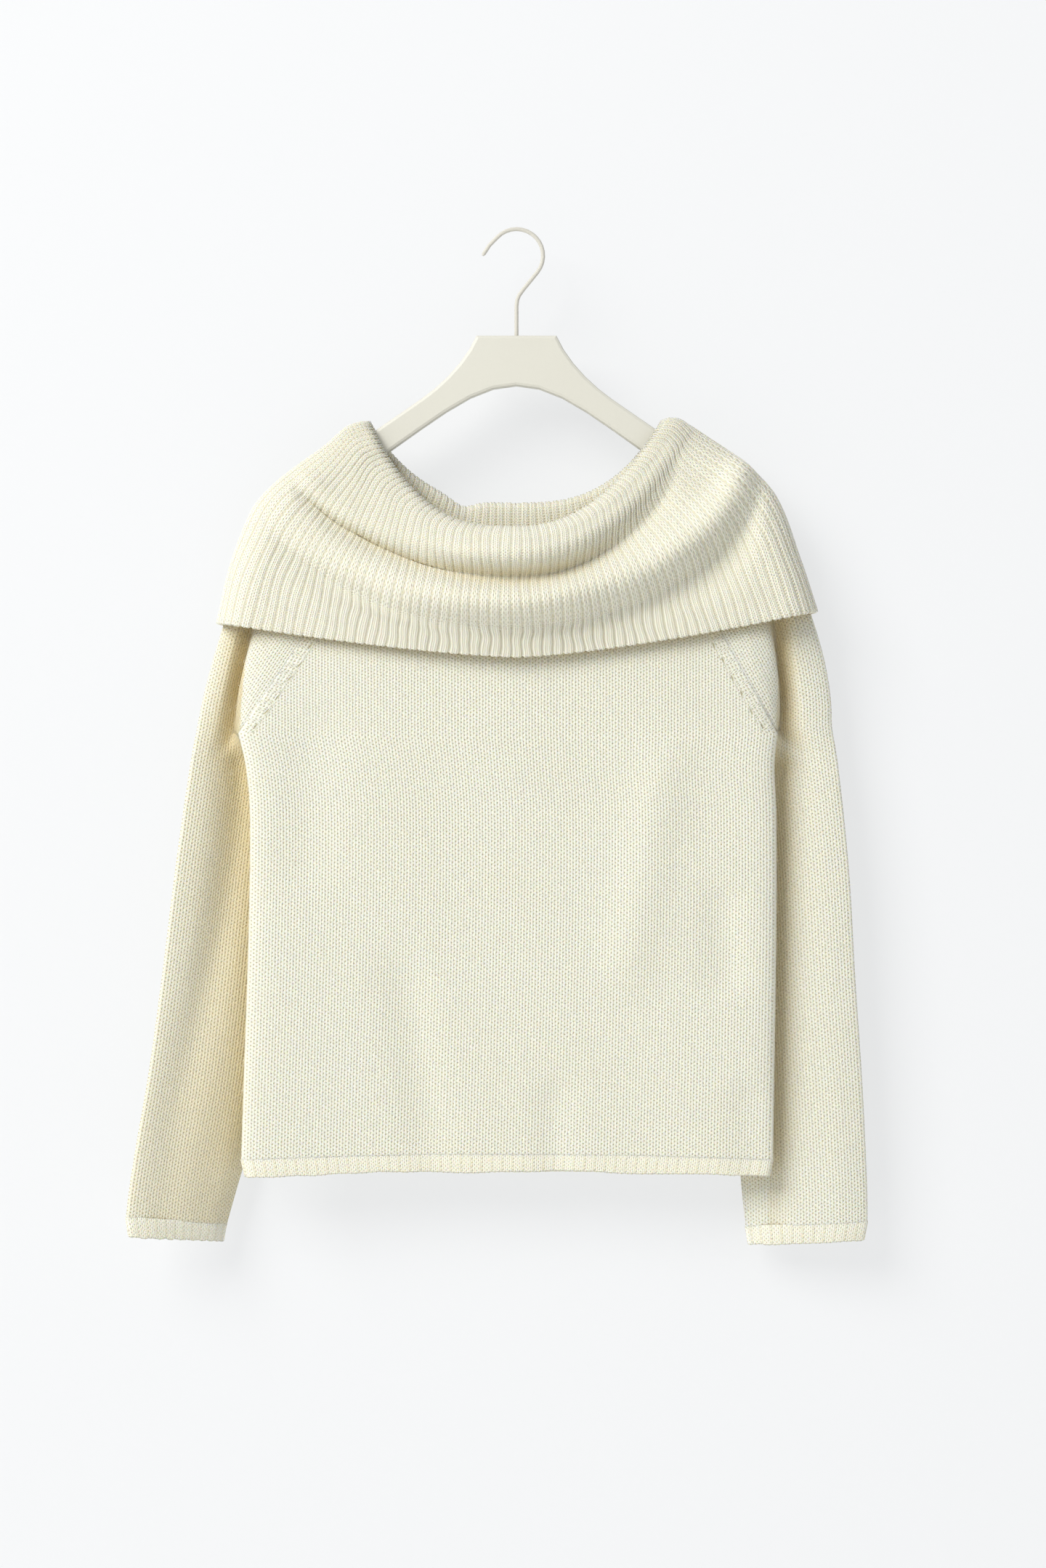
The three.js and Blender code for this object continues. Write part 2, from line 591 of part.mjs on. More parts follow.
/** The hanger's plate: the outline as thick as PLATE with rounded edges, and a blind socket for the hook's
 *  stem. */
function hangerPlate(material) {
  const depth = PLATE - 2 * PLATE_ROUND;
  const body = new THREE.ExtrudeGeometry(plateOutline(), {
    depth,
    bevelEnabled: true,
    bevelThickness: PLATE_ROUND,
    bevelSize: PLATE_ROUND,
    bevelOffset: -PLATE_ROUND,
    bevelSegments: 2,
    curveSegments: 5,
  });
  body.translate(0, 0, -depth / 2).rotateX(Math.PI / 2);
  const radius = WIRE / 2 + SOCKET_CLEARANCE;
  const socket = new THREE.CylinderGeometry(radius, radius, 2 * SOCKET_DEPTH, 16);
  socket.rotateX(Math.PI / 2).translate(0, 0, PLATE_TOP.z);
  const { vertProperties, triVerts } = toManifold(body).subtract(toManifold(socket)).getMesh();
  const geometry = new THREE.BufferGeometry();
  geometry.setAttribute('position', new THREE.BufferAttribute(vertProperties, 3));
  geometry.setIndex(new THREE.BufferAttribute(triVerts, 1));
  geometry.computeVertexNormals();
  const mesh = new THREE.Mesh(geometry, material);
  mesh.name = 'hanger';
  return mesh;
}

/** The hook's middle line: the stem out of the socket, a bend to the right, the round crown and the open
 *  tip. */
function hookLine() {
  const bottom = PLATE_TOP.z - SOCKET_DEPTH + SOCKET_CLEARANCE;
  const round = evenly(BOW.steps, BOW.from, BOW.to).map((degrees) => {
    const a = degrees * Math.PI / 180;
    return [HOOK_RADIUS * Math.cos(a), WIRE / 2 - HOOK_RADIUS + HOOK_RADIUS * Math.sin(a)];
  });
  return [[0, bottom], ...STEM, ...round, ...TIP].map(([x, z]) => point(x, 0, z));
}

/** The hook: round wire along its line, with a blunt tip. */
function hook(material) {
  const line = hookLine();
  const last = line.length - 1;
  const points = [];
  line.forEach((p, k) => {
    const tangent = line[Math.min(k + 1, last)].clone().sub(line[Math.max(k - 1, 0)]).normalize();
    const side = tangent.clone().cross(point(0, 1, 0));
    const radius = WIRE / 2 * (k === last ? TIP_SHARE : 1);
    for (let s = 0; s < WIRE_SIDES; s += 1) {
      const a = s / WIRE_SIDES * 2 * Math.PI;
      const [out, up] = [radius * Math.cos(a), radius * Math.sin(a)];
      points.push(p.clone().addScaledVector(side, out).add(point(0, up, 0)));
    }
  });
  const ends = [points.push(line[0].clone()) - 1, points.push(line[last].clone()) - 1];
  const faces = [];
  for (let s = 0; s < WIRE_SIDES; s += 1) {
    const next = (s + 1) % WIRE_SIDES;
    for (let k = 0; k < last; k += 1) {
      const [a, b] = [k * WIRE_SIDES, (k + 1) * WIRE_SIDES];
      faces.push([a + s, b + s, b + next], [a + s, b + next, a + next]);
    }
    faces.push([ends[0], s, next], [ends[1], last * WIRE_SIDES + next, last * WIRE_SIDES + s]);
  }
  return solid('hook', points, faces, material);
}

const knit = new THREE.MeshStandardMaterial({ color: 0xefecd9, roughness: 0.95 });
const rib = new THREE.MeshStandardMaterial({ color: 0xeeead6, roughness: 0.95 });
const paint = new THREE.MeshStandardMaterial({ color: 0xe8e4d6, roughness: 0.55 });
const wire = new THREE.MeshStandardMaterial({ color: 0xe4dfd0, roughness: 0.4 });

const group = new THREE.Group();

const perQuarter = COLLAR_RIBS / 2;
const fromTip = (k) => Math.abs((k % (2 * perQuarter)) - perQuarter);
group.add(ribbedTube('collar', COLLAR_ROWS.map((at) => collarRow(at, perQuarter)), {
  wall: RIB_WALL,
  rise: COLLAR_RISE,
  keep: (k) => k % 6 === 0 || (fromTip(k) < 9 && k % 2 === 0),
  material: rib,
}));

const skin = {
  front: piece(panelRows(true), false),
  back: piece(panelRows(false), true),
  sleeve_left: piece(sleeveRows('left'), true),
  sleeve_right: piece(sleeveRows('right'), false),
};
const directions = skinDirections(Object.values(skin));
for (const [name, part] of Object.entries(skin)) group.add(wall(name, part, directions, knit));

const hemTop = BODY[0].edgeZ;
group.add(band('hem_band', bodyRing(hemTop, 0), bodyRing(hemTop, BAND_HEIGHT), HEM_RIBS, 8, rib));
for (const side of ['left', 'right']) {
  const [bottom, top] = SLEEVES[side].map(({ z }) => tubeRow(side, z));
  const rings = side === 'left' ? [top.reverse(), bottom.reverse()] : [top, bottom];
  group.add(band('cuff_' + side, ...rings, CUFF_RIBS, 4, rib));
}

group.add(hangerPlate(paint));
group.add(hook(wire));

export default group;
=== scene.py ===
"""A ribbed off-the-shoulder sweater on a flat hanger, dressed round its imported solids.

Metres, +Z up, the front faces -Y. The tables are in millimetres, as the garment was measured.
"""

import math

import bpy
import numpy as np
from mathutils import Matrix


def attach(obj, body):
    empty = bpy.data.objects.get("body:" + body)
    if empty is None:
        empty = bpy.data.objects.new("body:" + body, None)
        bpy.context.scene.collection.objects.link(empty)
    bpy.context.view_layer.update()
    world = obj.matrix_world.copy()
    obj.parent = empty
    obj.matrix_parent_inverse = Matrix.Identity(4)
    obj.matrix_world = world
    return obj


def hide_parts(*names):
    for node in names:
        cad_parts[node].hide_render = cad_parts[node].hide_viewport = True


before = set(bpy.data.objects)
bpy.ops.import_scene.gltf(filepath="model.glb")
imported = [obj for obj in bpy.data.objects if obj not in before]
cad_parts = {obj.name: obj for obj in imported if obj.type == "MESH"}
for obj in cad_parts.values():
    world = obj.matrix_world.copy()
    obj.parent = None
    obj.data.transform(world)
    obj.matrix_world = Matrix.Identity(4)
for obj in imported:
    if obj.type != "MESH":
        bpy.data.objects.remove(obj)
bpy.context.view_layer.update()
scene = bpy.context.scene
scene.view_settings.view_transform = "Standard"

# Hanger plate. A flat board 12 mm thick with rounded edges and drooping arms, sprayed matt
# off-white. Only its neck and the tops of its arms show above the collar.


def blank(name):
    """A new node material, its tree and its shader."""
    made = bpy.data.materials.new(name)
    made.use_nodes = True
    return made, made.node_tree, made.node_tree.nodes["Principled BSDF"]


def node(tree, kind, inputs, **settings):
    """A node of that kind, its settings, and its inputs set to values or joined to other sockets."""
    made = tree.nodes.new("ShaderNode" + kind)
    for key, value in settings.items():
        setattr(made, key, value)
    for key, value in inputs.items():
        if isinstance(value, bpy.types.NodeSocket):
            tree.links.new(value, made.inputs[key])
        else:
            made.inputs[key].default_value = value
    return made


def sum_of(tree, operation, *values):
    """The result of one sum on numbers or sockets."""
    return node(tree, "Math", dict(enumerate(values)), operation=operation).outputs[0]


def blended(tree, share, low, high):
    """A colour between two others."""
    made = node(tree, "Mix", {0: share}, data_type="RGBA")
    for place, value in ((6, low), (7, high)):
        if isinstance(value, bpy.types.NodeSocket):
            tree.links.new(value, made.inputs[place])
        else:
            made.inputs[place].default_value = (*value, 1)
    return made.outputs[2]


def painted(name, light, dark, roughness, grain):
    """Sprayed paint: a colour that drifts slowly between two near ones, and a fine orange peel."""
    made, tree, shader = blank(name)
    place = node(tree, "TexCoord", {}).outputs["Object"]
    drift = node(tree, "TexNoise", {"Vector": place, "Scale": 14.0, "Detail": 3.0}).outputs[0]
    peel = node(tree, "TexNoise", {"Vector": place, "Scale": grain, "Detail": 4.0}).outputs[0]
    tree.links.new(blended(tree, drift, dark, light), shader.inputs["Base Color"])
    shader.inputs["Roughness"].default_value = roughness
    bump = node(tree, "Bump", {"Strength": 0.25, "Distance": 0.0004, "Height": peel})
    tree.links.new(bump.outputs[0], shader.inputs["Normal"])
    return made


def finished(name, material):
    """Gives a carried-over solid its finish."""
    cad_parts[name].material_slots[0].material = material


finished("hanger", painted("sprayed_board", (0.655, 0.645, 0.565), (0.625, 0.61, 0.53), 0.5, 700.0))

# Hook. Round wire of 3.4 mm, bent to an open crown and dipped in the same off-white paint. Its
# stem goes down into a socket in the board's top.
finished("hook", painted("dipped_wire", (0.62, 0.60, 0.53), (0.57, 0.55, 0.48), 0.35, 1400.0))

# Collar. A tube of 124 ribs, each of two knit wales and one purl wale, knitted 368 mm long and
# folded over outwards so that it lies off the shoulders in two swags. Its closing seam is at the
# back's middle.
COLLAR = np.array([
    # at, left x z, right x z, side y, turn, front side y, front y z, back side y, back y z, sags
    [0, -219, -262, 217, -258, 0, 12, -11.5, -20, -318, 11.5, 12, -300, 2.4, 2.4, 2.4],
    [31, -212.5, -231.5, 211.5, -230, 0, 12, -11.5, -21.5, -304, 11.5, 12, -288, 2.4, 2.4, 2.4],
    [46, -203, -219, 202.5, -218.5, 0, 11, -11.5, -22, -297, 11.5, 12, -281, 2.5, 2.4, 2.5],
    [67, -186, -205.5, 185.5, -205, 0, 11, -11.5, -23, -287, 11.5, 12, -271, 2.5, 2.4, 2.6],
    [99, -160, -187.5, 159, -187, 0, 11, -11.5, -24, -272, 11.5, 12, -256, 2.6, 2.3, 2.7],
    [123, -139, -173, 139, -172.5, 0, 11, -12, -26, -260, 12, 13, -240, 2.8, 2.3, 2.8],
    [147, -121, -160, 121.5, -158.5, 0, 12, -13, -34, -248.5, 12.5, 17, -225.5, 2.9, 2.25, 2.9],
    [165, -137, -162.5, 132, -157, 0, 15, -16, -46, -256, 15.5, 23, -232, 2.8, 2.2, 2.9],
    [190, -156, -178.5, 141, -162, 0, 16, -17, -50, -270, 16.5, 26, -244, 2.5, 2.2, 2.8],
    [226, -187, -201, 152, -169, 0, 17, -17.5, -36, -288, 17, 22, -264, 2.2, 2.25, 2.7],
    [251, -204.5, -216, 188, -194, 1, 20, -21, -52, -307, 20, 27, -284, 2.2, 1.9, 2.6],
    [270, -216.5, -231, 212, -219.5, 2, 22, -22, -36, -327, 21, 23, -302, 2.6, 2, 2.4],
    [318, -234, -275, 232, -270, 4, 24, -24, -31, -341, 24, 25, -324, 1.9, 1.8, 2],
    [368, -245.5, -323, 246.5, -313.5, 5, 26, -25, -30, -351.5, 26, 27, -346, 1.4, 1.4, 1.6],
])
COLLAR_RIBS, RIB_COLUMNS = 124, 8
FOLD_CROWD, CROWD_AT, CROWD_WIDTH = 0.38, 160, 62
QUARTER_POINTS = 97
COURSE = 3.15
MM = 0.001


def along(table, at):
    """A table's rows at new values of its first column: between two rows a cubic, whose slope at
    each row is that between the row's two neighbours."""
    keys, last = table[:, 0], len(table) - 1
    around = np.arange(last + 1)
    before, after = np.maximum(around - 1, 0), np.minimum(around + 1, last)
    slope = (table[after] - table[before]) / (keys[after] - keys[before])[:, None]
    k = np.clip(np.searchsorted(keys, at, side="right") - 1, 0, last - 1)
    span = (keys[k + 1] - keys[k])[:, None]
    f = (np.asarray(at, float) - keys[k])[:, None] / span
    return (
        (2 * f**3 - 3 * f**2 + 1) * table[k] + (f**3 - 2 * f**2 + f) * span * slope[k]
        + (3 * f**2 - 2 * f**3) * table[k + 1] + (f**3 - f**2) * span * slope[k + 1]
    )


def evened(lines, steps, crowd=0.0):
    """Each line of a stack again, with its points at equal distances, or where crowd isn't 0 with
    distances that fall steadily from 1 + crowd of the mean at the start to 1 - crowd at the end."""
    length = np.linalg.norm(np.diff(lines, axis=1), axis=2).cumsum(axis=1)
    length = np.pad(length, ((0, 0), (1, 0)))
    even = np.linspace(0, 1, steps + 1)
    want = even + np.broadcast_to(crowd, len(lines))[:, None] * (even - even**2)
    return np.array([
        [np.interp(share * reach[-1], reach, line[:, axis]) for axis in range(3)]
        for line, reach, share in zip(lines, length, want)
    ]).transpose(0, 2, 1)


def bell(values, middle, width):
    """1 at the middle, falling off to both sides as the bell curve of that width."""
    return np.exp(-(((values - middle) / width) ** 2))


def collar_rings(at, steps):
    """The collar's rings at knitted lengths: in each quarter x goes out as a sine, y turns round
    the shoulder tip in an ellipse and then eases to the middle, and z rises as a power of x. At
    the fold the ribs crowd towards the tips."""
    crowd = FOLD_CROWD * bell(at, CROWD_AT, CROWD_WIDTH)
    rows = along(COLLAR, at).T[1:, :, None]
    left_x, left_z, right_x, right_z, side_y, turn = rows[:6]
    front, back = (*rows[6:9], None), (*rows[9:12], rows[14])
    out = np.sin(np.linspace(0, np.pi / 2, QUARTER_POINTS))[None]
    quarters = []
    for x, z, (face_y, mid_y, mid_z, sag), own in (
        (right_x, right_z, front, rows[13]),
        (right_x, right_z, back, None),
        (left_x, left_z, back, None),
        (left_x, left_z, front, rows[12]),
    ):
        sag = own if sag is None else sag
        share = turn / abs(x)
        tip = np.sqrt(np.clip(1 - ((out - 1 + share) / share) ** 2, 0, 1))
        ease = np.clip((1 - share - out) / (1 - share), 0, 1) ** 0.75
        ease = ease * ease * (3 - 2 * ease)
        y = np.where(
            out > 1 - share, side_y + (face_y - side_y) * tip, face_y + (mid_y - face_y) * ease
        )
        line = np.stack([x * out, y, mid_z + (z - mid_z) * out**sag], axis=2)
        quarters.append(evened(line, steps, crowd))
    a, b, c, d = quarters
    return np.concatenate([a[:, :-1], b[:, :0:-1], c[:, :-1], d[:, :0:-1]], axis=1)


def unit(vectors):
    """Vectors of length one."""
    return vectors / np.maximum(np.linalg.norm(vectors, axis=-1, keepdims=True), 1e-9)


def ahead(points, axis, closed):
    """The step from each point's neighbour before it to the one after it."""
    if closed:
        return np.roll(points, -1, axis) - np.roll(points, 1, axis)
    return np.gradient(points, axis=axis)


def cloth(name, points, wales, courses, closed=False, looped=False, flip=False):
    """A mesh from a grid of points in millimetres, with quads between neighbours. It is closed
    across its columns, or along its rows, where that is asked. Its map is in wales and courses,
    with one more column or row where it closes."""
    rows, columns = points.shape[:2]
    r, c = np.meshgrid(
        np.arange(rows - (not looped)), np.arange(columns - (not closed)), indexing="ij"
    )
    r, c = r.ravel(), c.ravel()
    corners = [(r, c), (r, c + 1), (r + 1, c + 1), (r + 1, c)]
    if flip:
        corners.reverse()
    quads = np.stack([(i % rows) * columns + j % columns for i, j in corners], axis=1)
    mesh = bpy.data.meshes.new(name)
    mesh.from_pydata(points.reshape(-1, 3) * MM, [], quads)
    layer = mesh.uv_layers.new(name="stitches")
    spots = np.stack([np.stack([wales[i, j], courses[i, j]], axis=1) for i, j in corners], axis=1)
    layer.data.foreach_set("uv", spots.astype(np.float32).ravel())
    mesh.shade_smooth()
    made = bpy.data.objects.new(name, mesh)
    scene.collection.objects.link(made)
    return made


# Painted shade: each gap colour is the darker colour painted into the gaps, eyes and troughs between
# the yarns.
KNIT_LIGHT, RIB_GAP_SHADE = (0.92, 0.902, 0.775), (0.78, 0.745, 0.57)
# Painted shade: the deep straw yellow of hollows that see little of the room and of the sleeves beside
# the body.
STRAW_SHADE = (0.76, 0.63, 0.35)
HOLLOW_REACH = 0.06


def stitched(name, light, gap, purl, depth, shade_shares):
    """Brushed wool in stocking stitch: two legs a stitch that rise outwards from its middle, so
    that each wale is a chain of V shapes. Small eyes lie between them, at the middle of each
    stitch and, half a course on, between two wales. Of every three wales the last is a purl wale
    of short cross bars where purl is true. A noise finer than a stitch is the fuzz. Where the
    relief is low, in the eyes, the gaps, the purl troughs and the eyelets, painted shade turns
    the colour to the darker gap colour. Hollows that see less of the room than the two given
    shares are painted with shade, a deep straw yellow, but not on the side towards the wall,
    and so is the cloth where its attribute of painted shade says it. The attribute eyelet marks
    the small holes beside the raglan seams."""
    made, tree, shader = blank(name)
    place = node(tree, "TexCoord", {}).outputs["Object"]
    spot = node(tree, "SeparateXYZ", {0: node(tree, "UVMap", {}, uv_map="stitches").outputs[0]})
    wander = node(tree, "TexNoise", {"Vector": place, "Scale": 210.0, "Detail": 1.0}).outputs[0]
    wander = sum_of(tree, "MULTIPLY_ADD", wander, 0.5, -0.25)
    course = sum_of(tree, "ADD", spot.outputs[1], wander)
    wale = sum_of(tree, "MULTIPLY_ADD", wander, 0.3, spot.outputs[0])

    # Out is 0 at a wale's middle and 1 at its edges: each leg is round across its width, and its
    # yarn is round again along a slant of one and a half courses.
    out = sum_of(tree, "MULTIPLY_ADD", sum_of(tree, "FRACT", wale), 2.0, -1.0)
    out = sum_of(tree, "ABSOLUTE", out)
    turned = sum_of(tree, "ABSOLUTE", sum_of(tree, "MULTIPLY_ADD", out, 2.0, -1.0))
    leg = sum_of(tree, "SUBTRACT", 1.0, sum_of(tree, "POWER", turned, 2.2))
    phase = sum_of(tree, "FRACT", sum_of(tree, "MULTIPLY_ADD", out, -1.5, course))
    yarn = sum_of(tree, "ABSOLUTE", sum_of(tree, "MULTIPLY_ADD", phase, 2.0, -1.0))
    yarn = sum_of(tree, "SUBTRACT", 1.0, sum_of(tree, "POWER", yarn, 2.4))

    # The eyes are where a wave across and a wave down have opposite signs.
    across = sum_of(tree, "COSINE", sum_of(tree, "MULTIPLY", wale, 2 * math.pi))
    down = sum_of(tree, "COSINE", sum_of(tree, "MULTIPLY", course, 2 * math.pi))
    eye = sum_of(tree, "MULTIPLY", sum_of(tree, "MULTIPLY", across, down), -1.0)
    eye = sum_of(tree, "POWER", sum_of(tree, "MAXIMUM", eye, 0.0), 1.6)
    height = sum_of(tree, "MULTIPLY_ADD", leg, 0.42, sum_of(tree, "MULTIPLY", yarn, 0.24))
    height = sum_of(tree, "MULTIPLY_ADD", eye, -0.6, sum_of(tree, "ADD", height, 0.34))
    eyelet = node(tree, "Attribute", {}, attribute_name="eyelet").outputs["Fac"]
    height = sum_of(tree, "SUBTRACT", height, sum_of(tree, "MULTIPLY", eyelet, 1.4))
    if purl:
        bar = sum_of(tree, "MULTIPLY_ADD", sum_of(tree, "POWER", out, 2.0), 0.3, course)
        bar = sum_of(tree, "MULTIPLY_ADD", sum_of(tree, "FRACT", bar), 2.0, -1.0)
        bar = sum_of(tree, "ABSOLUTE", bar)
        bar = sum_of(tree, "MULTIPLY_ADD", sum_of(tree, "POWER", bar, 1.5), 0.75, -0.15)
        third = sum_of(tree, "GREATER_THAN", sum_of(tree, "FLOORED_MODULO", wale, 3.0), 2.0)
        height = node(tree, "Mix", {0: third, 2: height, 3: bar}, data_type="FLOAT").outputs[0]

    # Colour: painted shade darkens the gaps below the yarn and turns hollows to straw, and the yarn
    # itself is cloudy.
    fuzz = node(
        tree, "TexNoise", {"Vector": place, "Scale": 900.0, "Detail": 5.0, "Roughness": 0.72}
    ).outputs[0]
    tint = node(
        tree, "MapRange", {0: height, 1: 0.0, 2: 0.75, 3: 0.0, 4: 1.0},
        interpolation_type="SMOOTHSTEP",
    ).outputs[0]
    cloudy = node(tree, "TexNoise", {"Vector": place, "Scale": 9.0, "Detail": 3.0}).outputs[0]
    warm = tuple(value * share for value, share in zip(light, (0.985, 0.975, 0.94)))
    colour = blended(tree, tint, gap, blended(tree, cloudy, warm, light))
    seen = node(tree, "AmbientOcclusion", {"Distance": HOLLOW_REACH}, samples=6).outputs["AO"]
    seen = node(
        tree, "MapRange", {0: seen, 1: shade_shares[0], 2: shade_shares[1], 3: 0.0, 4: 1.0},
        interpolation_type="SMOOTHSTEP",
    ).outputs[0]
    facing = node(tree, "SeparateXYZ", {0: node(tree, "NewGeometry", {}).outputs["Normal"]})
    behind = sum_of(tree, "MULTIPLY_ADD", facing.outputs[1], 4.0, -0.8)
    seen = sum_of(tree, "MAXIMUM", seen, sum_of(tree, "MINIMUM", behind, 1.0))
    painted_shade = node(tree, "Attribute", {}, attribute_name="painted_shade").outputs["Fac"]
    seen = sum_of(tree, "MULTIPLY", seen, sum_of(tree, "SUBTRACT", 1.0, painted_shade))
    tree.links.new(blended(tree, seen, STRAW_SHADE, colour), shader.inputs["Base Color"])

    # Wool: rough, a little translucent and with a pale sheen, in the relief of its yarns.
    shader.inputs["Roughness"].default_value = 0.95
    shader.inputs["Specular IOR Level"].default_value = 0.2
    shader.inputs["Subsurface Weight"].default_value = 0.4
    shader.inputs["Subsurface Radius"].default_value = (1.0, 0.8, 0.45)
    shader.inputs["Subsurface Scale"].default_value = 0.003
    shader.inputs["Sheen Weight"].default_value = 0.2
    shader.inputs["Sheen Roughness"].default_value = 0.5
    shader.inputs["Sheen Tint"].default_value = (1.0, 0.98, 0.92, 1)
    relief = sum_of(tree, "MULTIPLY_ADD", fuzz, 0.55, height)
    bump = node(tree, "Bump", {"Strength": 0.9, "Distance": depth, "Height": relief})
    tree.links.new(bump.outputs[0], shader.inputs["Normal"])
    return made


# Round one rib: how far each column stands out, and its place on the map of wales.
RIB_HEIGHTS = np.array([0.3, 0.75, 0.8, 0.3, -0.45, 0.3, 0.8, 0.75])
RIB_WALES = np.array([1.0, 1.31, 1.62, 1.93, 2.5, 3.07, 3.38, 3.69])
HALF_RIB_WALL = 1.5
LIP_ANGLES = np.radians([35, 70, 110, 145])
LIP_COURSE, LIP_TURN, BEFORE_FIRST = 0.3, 9, 2


def rib_wales(ribs):
    """The map's wale for each column of a ribbed tube: three to a rib."""
    return np.tile(RIB_WALES, ribs) + 3 * np.repeat(np.arange(ribs), RIB_COLUMNS)


def ribbed_tube(name, outside, direction, heights, courses, half, lip, tuck=None, **options):
    """A ribbed tube's wall as one closed skin: down the ribbed side, round the edge in a half
    circle and back up the plain side, on every fourth row. Rows go along the ribs, and columns go
    round. Where tuck is given, the first row lies that near the wall's middle on both sides. The
    map's courses run on round the edge and a little past it on the plain side."""
    rise = unit(outside[-1] - outside[-2])
    edge = outside[-1] + rise * heights[:, None]
    side = np.where(np.cos(LIP_ANGLES) > 0, 1, 0)[:, None]
    reach = np.cos(LIP_ANGLES)[:, None] * (half + side * (half * 0.4 + heights))
    lips = rise * (lip * np.sin(LIP_ANGLES))[:, None, None]
    lips = edge + direction[-1] * reach[..., None] + lips
    face = outside + direction * (half * 1.4 + heights)[None, :, None]
    face[-1] += edge - outside[-1]
    back_rows = np.arange(len(outside))[::-4]
    inner = (outside - direction * half)[back_rows]
    if tuck is not None:
        face[0] = outside[0] + direction[0] * tuck
        inner = np.concatenate([inner, [outside[0] - direction[0] * tuck]])
        back_rows = np.append(back_rows, 0)
    grid = np.concatenate([face, lips, inner])
    lip_courses = courses[-1] + LIP_COURSE * np.arange(1, len(LIP_ANGLES) + 1)
    down = np.concatenate([
        courses, lip_courses, courses[back_rows] + LIP_TURN, courses[:1] - BEFORE_FIRST
    ])
    ribs = len(heights) // RIB_COLUMNS
    across, down = np.meshgrid(np.append(rib_wales(ribs), 3 * ribs + 1), down)
    return cloth(name, grid, across, down, closed=True, looped=True, **options)


SWELL_PAST = 4
SWAG_CREASES = [
    # each crease from the left to the right: x, z, depth, swell above it, its reach up and down
    np.array([
        [-186, -212, 0, 0, 4, 8], [-172, -222, 5, 2, 4, 9], [-147, -242, 8, 3, 4, 11],
        [-111, -262, 8, 3, 4.5, 11], [-73, -278, 6, 2, 5, 11], [-34, -285, 5, 2, 6, 11],
        [9, -287, 5, 2, 7, 11], [51, -279, 5, 2, 8, 11], [86, -260, 5, 2, 8, 11],
        [114, -234, 4, 2, 8, 10], [136, -200, 0, 0, 8, 10],
    ]),
    np.array([
        [-205, -254, 0, 0, 6, 12], [-171, -278, 4, 2, 6, 12], [-136, -297, 5, 2, 6, 12],
        [-94, -315, 4, 2, 6, 12], [-41, -325, 4, 2, 7, 12], [9, -328, 5, 2, 8, 14],
        [58, -323, 6, 4, 9, 16], [100, -311, 7, 9, 10, 18], [136, -292, 8, 14, 11, 20],
        [164, -273, 8, 14, 11, 20], [188, -246, 5, 8, 10, 16], [203, -218, 0, 0, 10, 12],
    ]),
]


def pressed(points, creases_on_it):
    """How far creases press a cloth's front back: below each line a wide bell and above it
    another, with a low swell above that, where the cloth rolls over the crease. The swell is a
    bell too, a little wider and that much past the foot of the bell below it."""
    x, z = points[..., 0], points[..., 2]
    total = np.zeros_like(x)
    for line in creases_on_it:
        ends = line[0, 0], line[-1, 0]
        at = np.clip(x, *ends)
        line_z, depth, lift, above, below = along(line, at.ravel()).T[1:].reshape(5, *x.shape)
        slant = np.gradient(line[:, 1], line[:, 0])
        away = (z - line_z) / np.hypot(1, np.interp(at, line[:, 0], slant))
        trough = bell(away, 0, np.where(away > 0, above, below))
        swell = bell(away, 2 * above + SWELL_PAST, above + SWELL_PAST)
        total += np.where((x > ends[0]) & (x < ends[1]), depth * trough - lift * swell, 0)
    return total


# The rows lie closest where the outer layer's creases are. The lengths are from the neck seam:
# the fold is at 147 mm, and the outer layer shows from 172 mm down.
COLLAR_ROWS = 76
FOLD_AT, OUTER_AT, OUTER_FADE = 147, 172, 12
NICK_X, NICK_WIDTH, NICK_DEPTH = -45, 13, 6.5
collar_at = np.interp(
    np.linspace(0, 1, COLLAR_ROWS), [0, 0.09, 0.2, 0.86, 1], [0.4, 100, 165, 300, 368]
)
columns = COLLAR_RIBS * RIB_COLUMNS
mid = collar_rings(collar_at, columns // 4)
place = np.arange(columns) / columns
outer_layer = np.clip((collar_at - OUTER_AT) / OUTER_FADE, 0, 1)[:, None] * (mid[..., 1] < 0)
mid[..., 1] += pressed(mid, SWAG_CREASES) * outer_layer

# The back's fold dips in a small nick, and the ribs wander to and fro as they hang.
nick = bell(mid[..., 0], NICK_X, NICK_WIDTH) * bell(collar_at, FOLD_AT, 45)[:, None]
mid[..., 2] -= NICK_DEPTH * nick * (mid[..., 1] > 0)
swing = bell(collar_at, 262, 45)[:, None]
drift = 0.9 * swing * np.sin(2 * np.pi * (place * 9 + collar_at[:, None] / 130))
drift += 0.45 * np.sin(2 * np.pi * (place * 21 - collar_at[:, None] / 95))
mid = mid + unit(ahead(mid, 1, True)) * drift[..., None]
out_of = unit(np.cross(ahead(mid, 0, False), ahead(mid, 1, True)))
closing_seam = 0.9 * bell(place * COLLAR_RIBS, COLLAR_RIBS / 2, 0.3)
heights = np.tile(RIB_HEIGHTS, COLLAR_RIBS) - closing_seam
collar = ribbed_tube(
    "ribbed_collar", mid, out_of, heights, collar_at / COURSE, HALF_RIB_WALL, 1.2
)
rib_knit = stitched("rib_knit", KNIT_LIGHT, RIB_GAP_SHADE, True, 0.0013, (0.0, 0.68))
collar.data.materials.append(rib_knit)
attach(collar, "root")
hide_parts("collar")

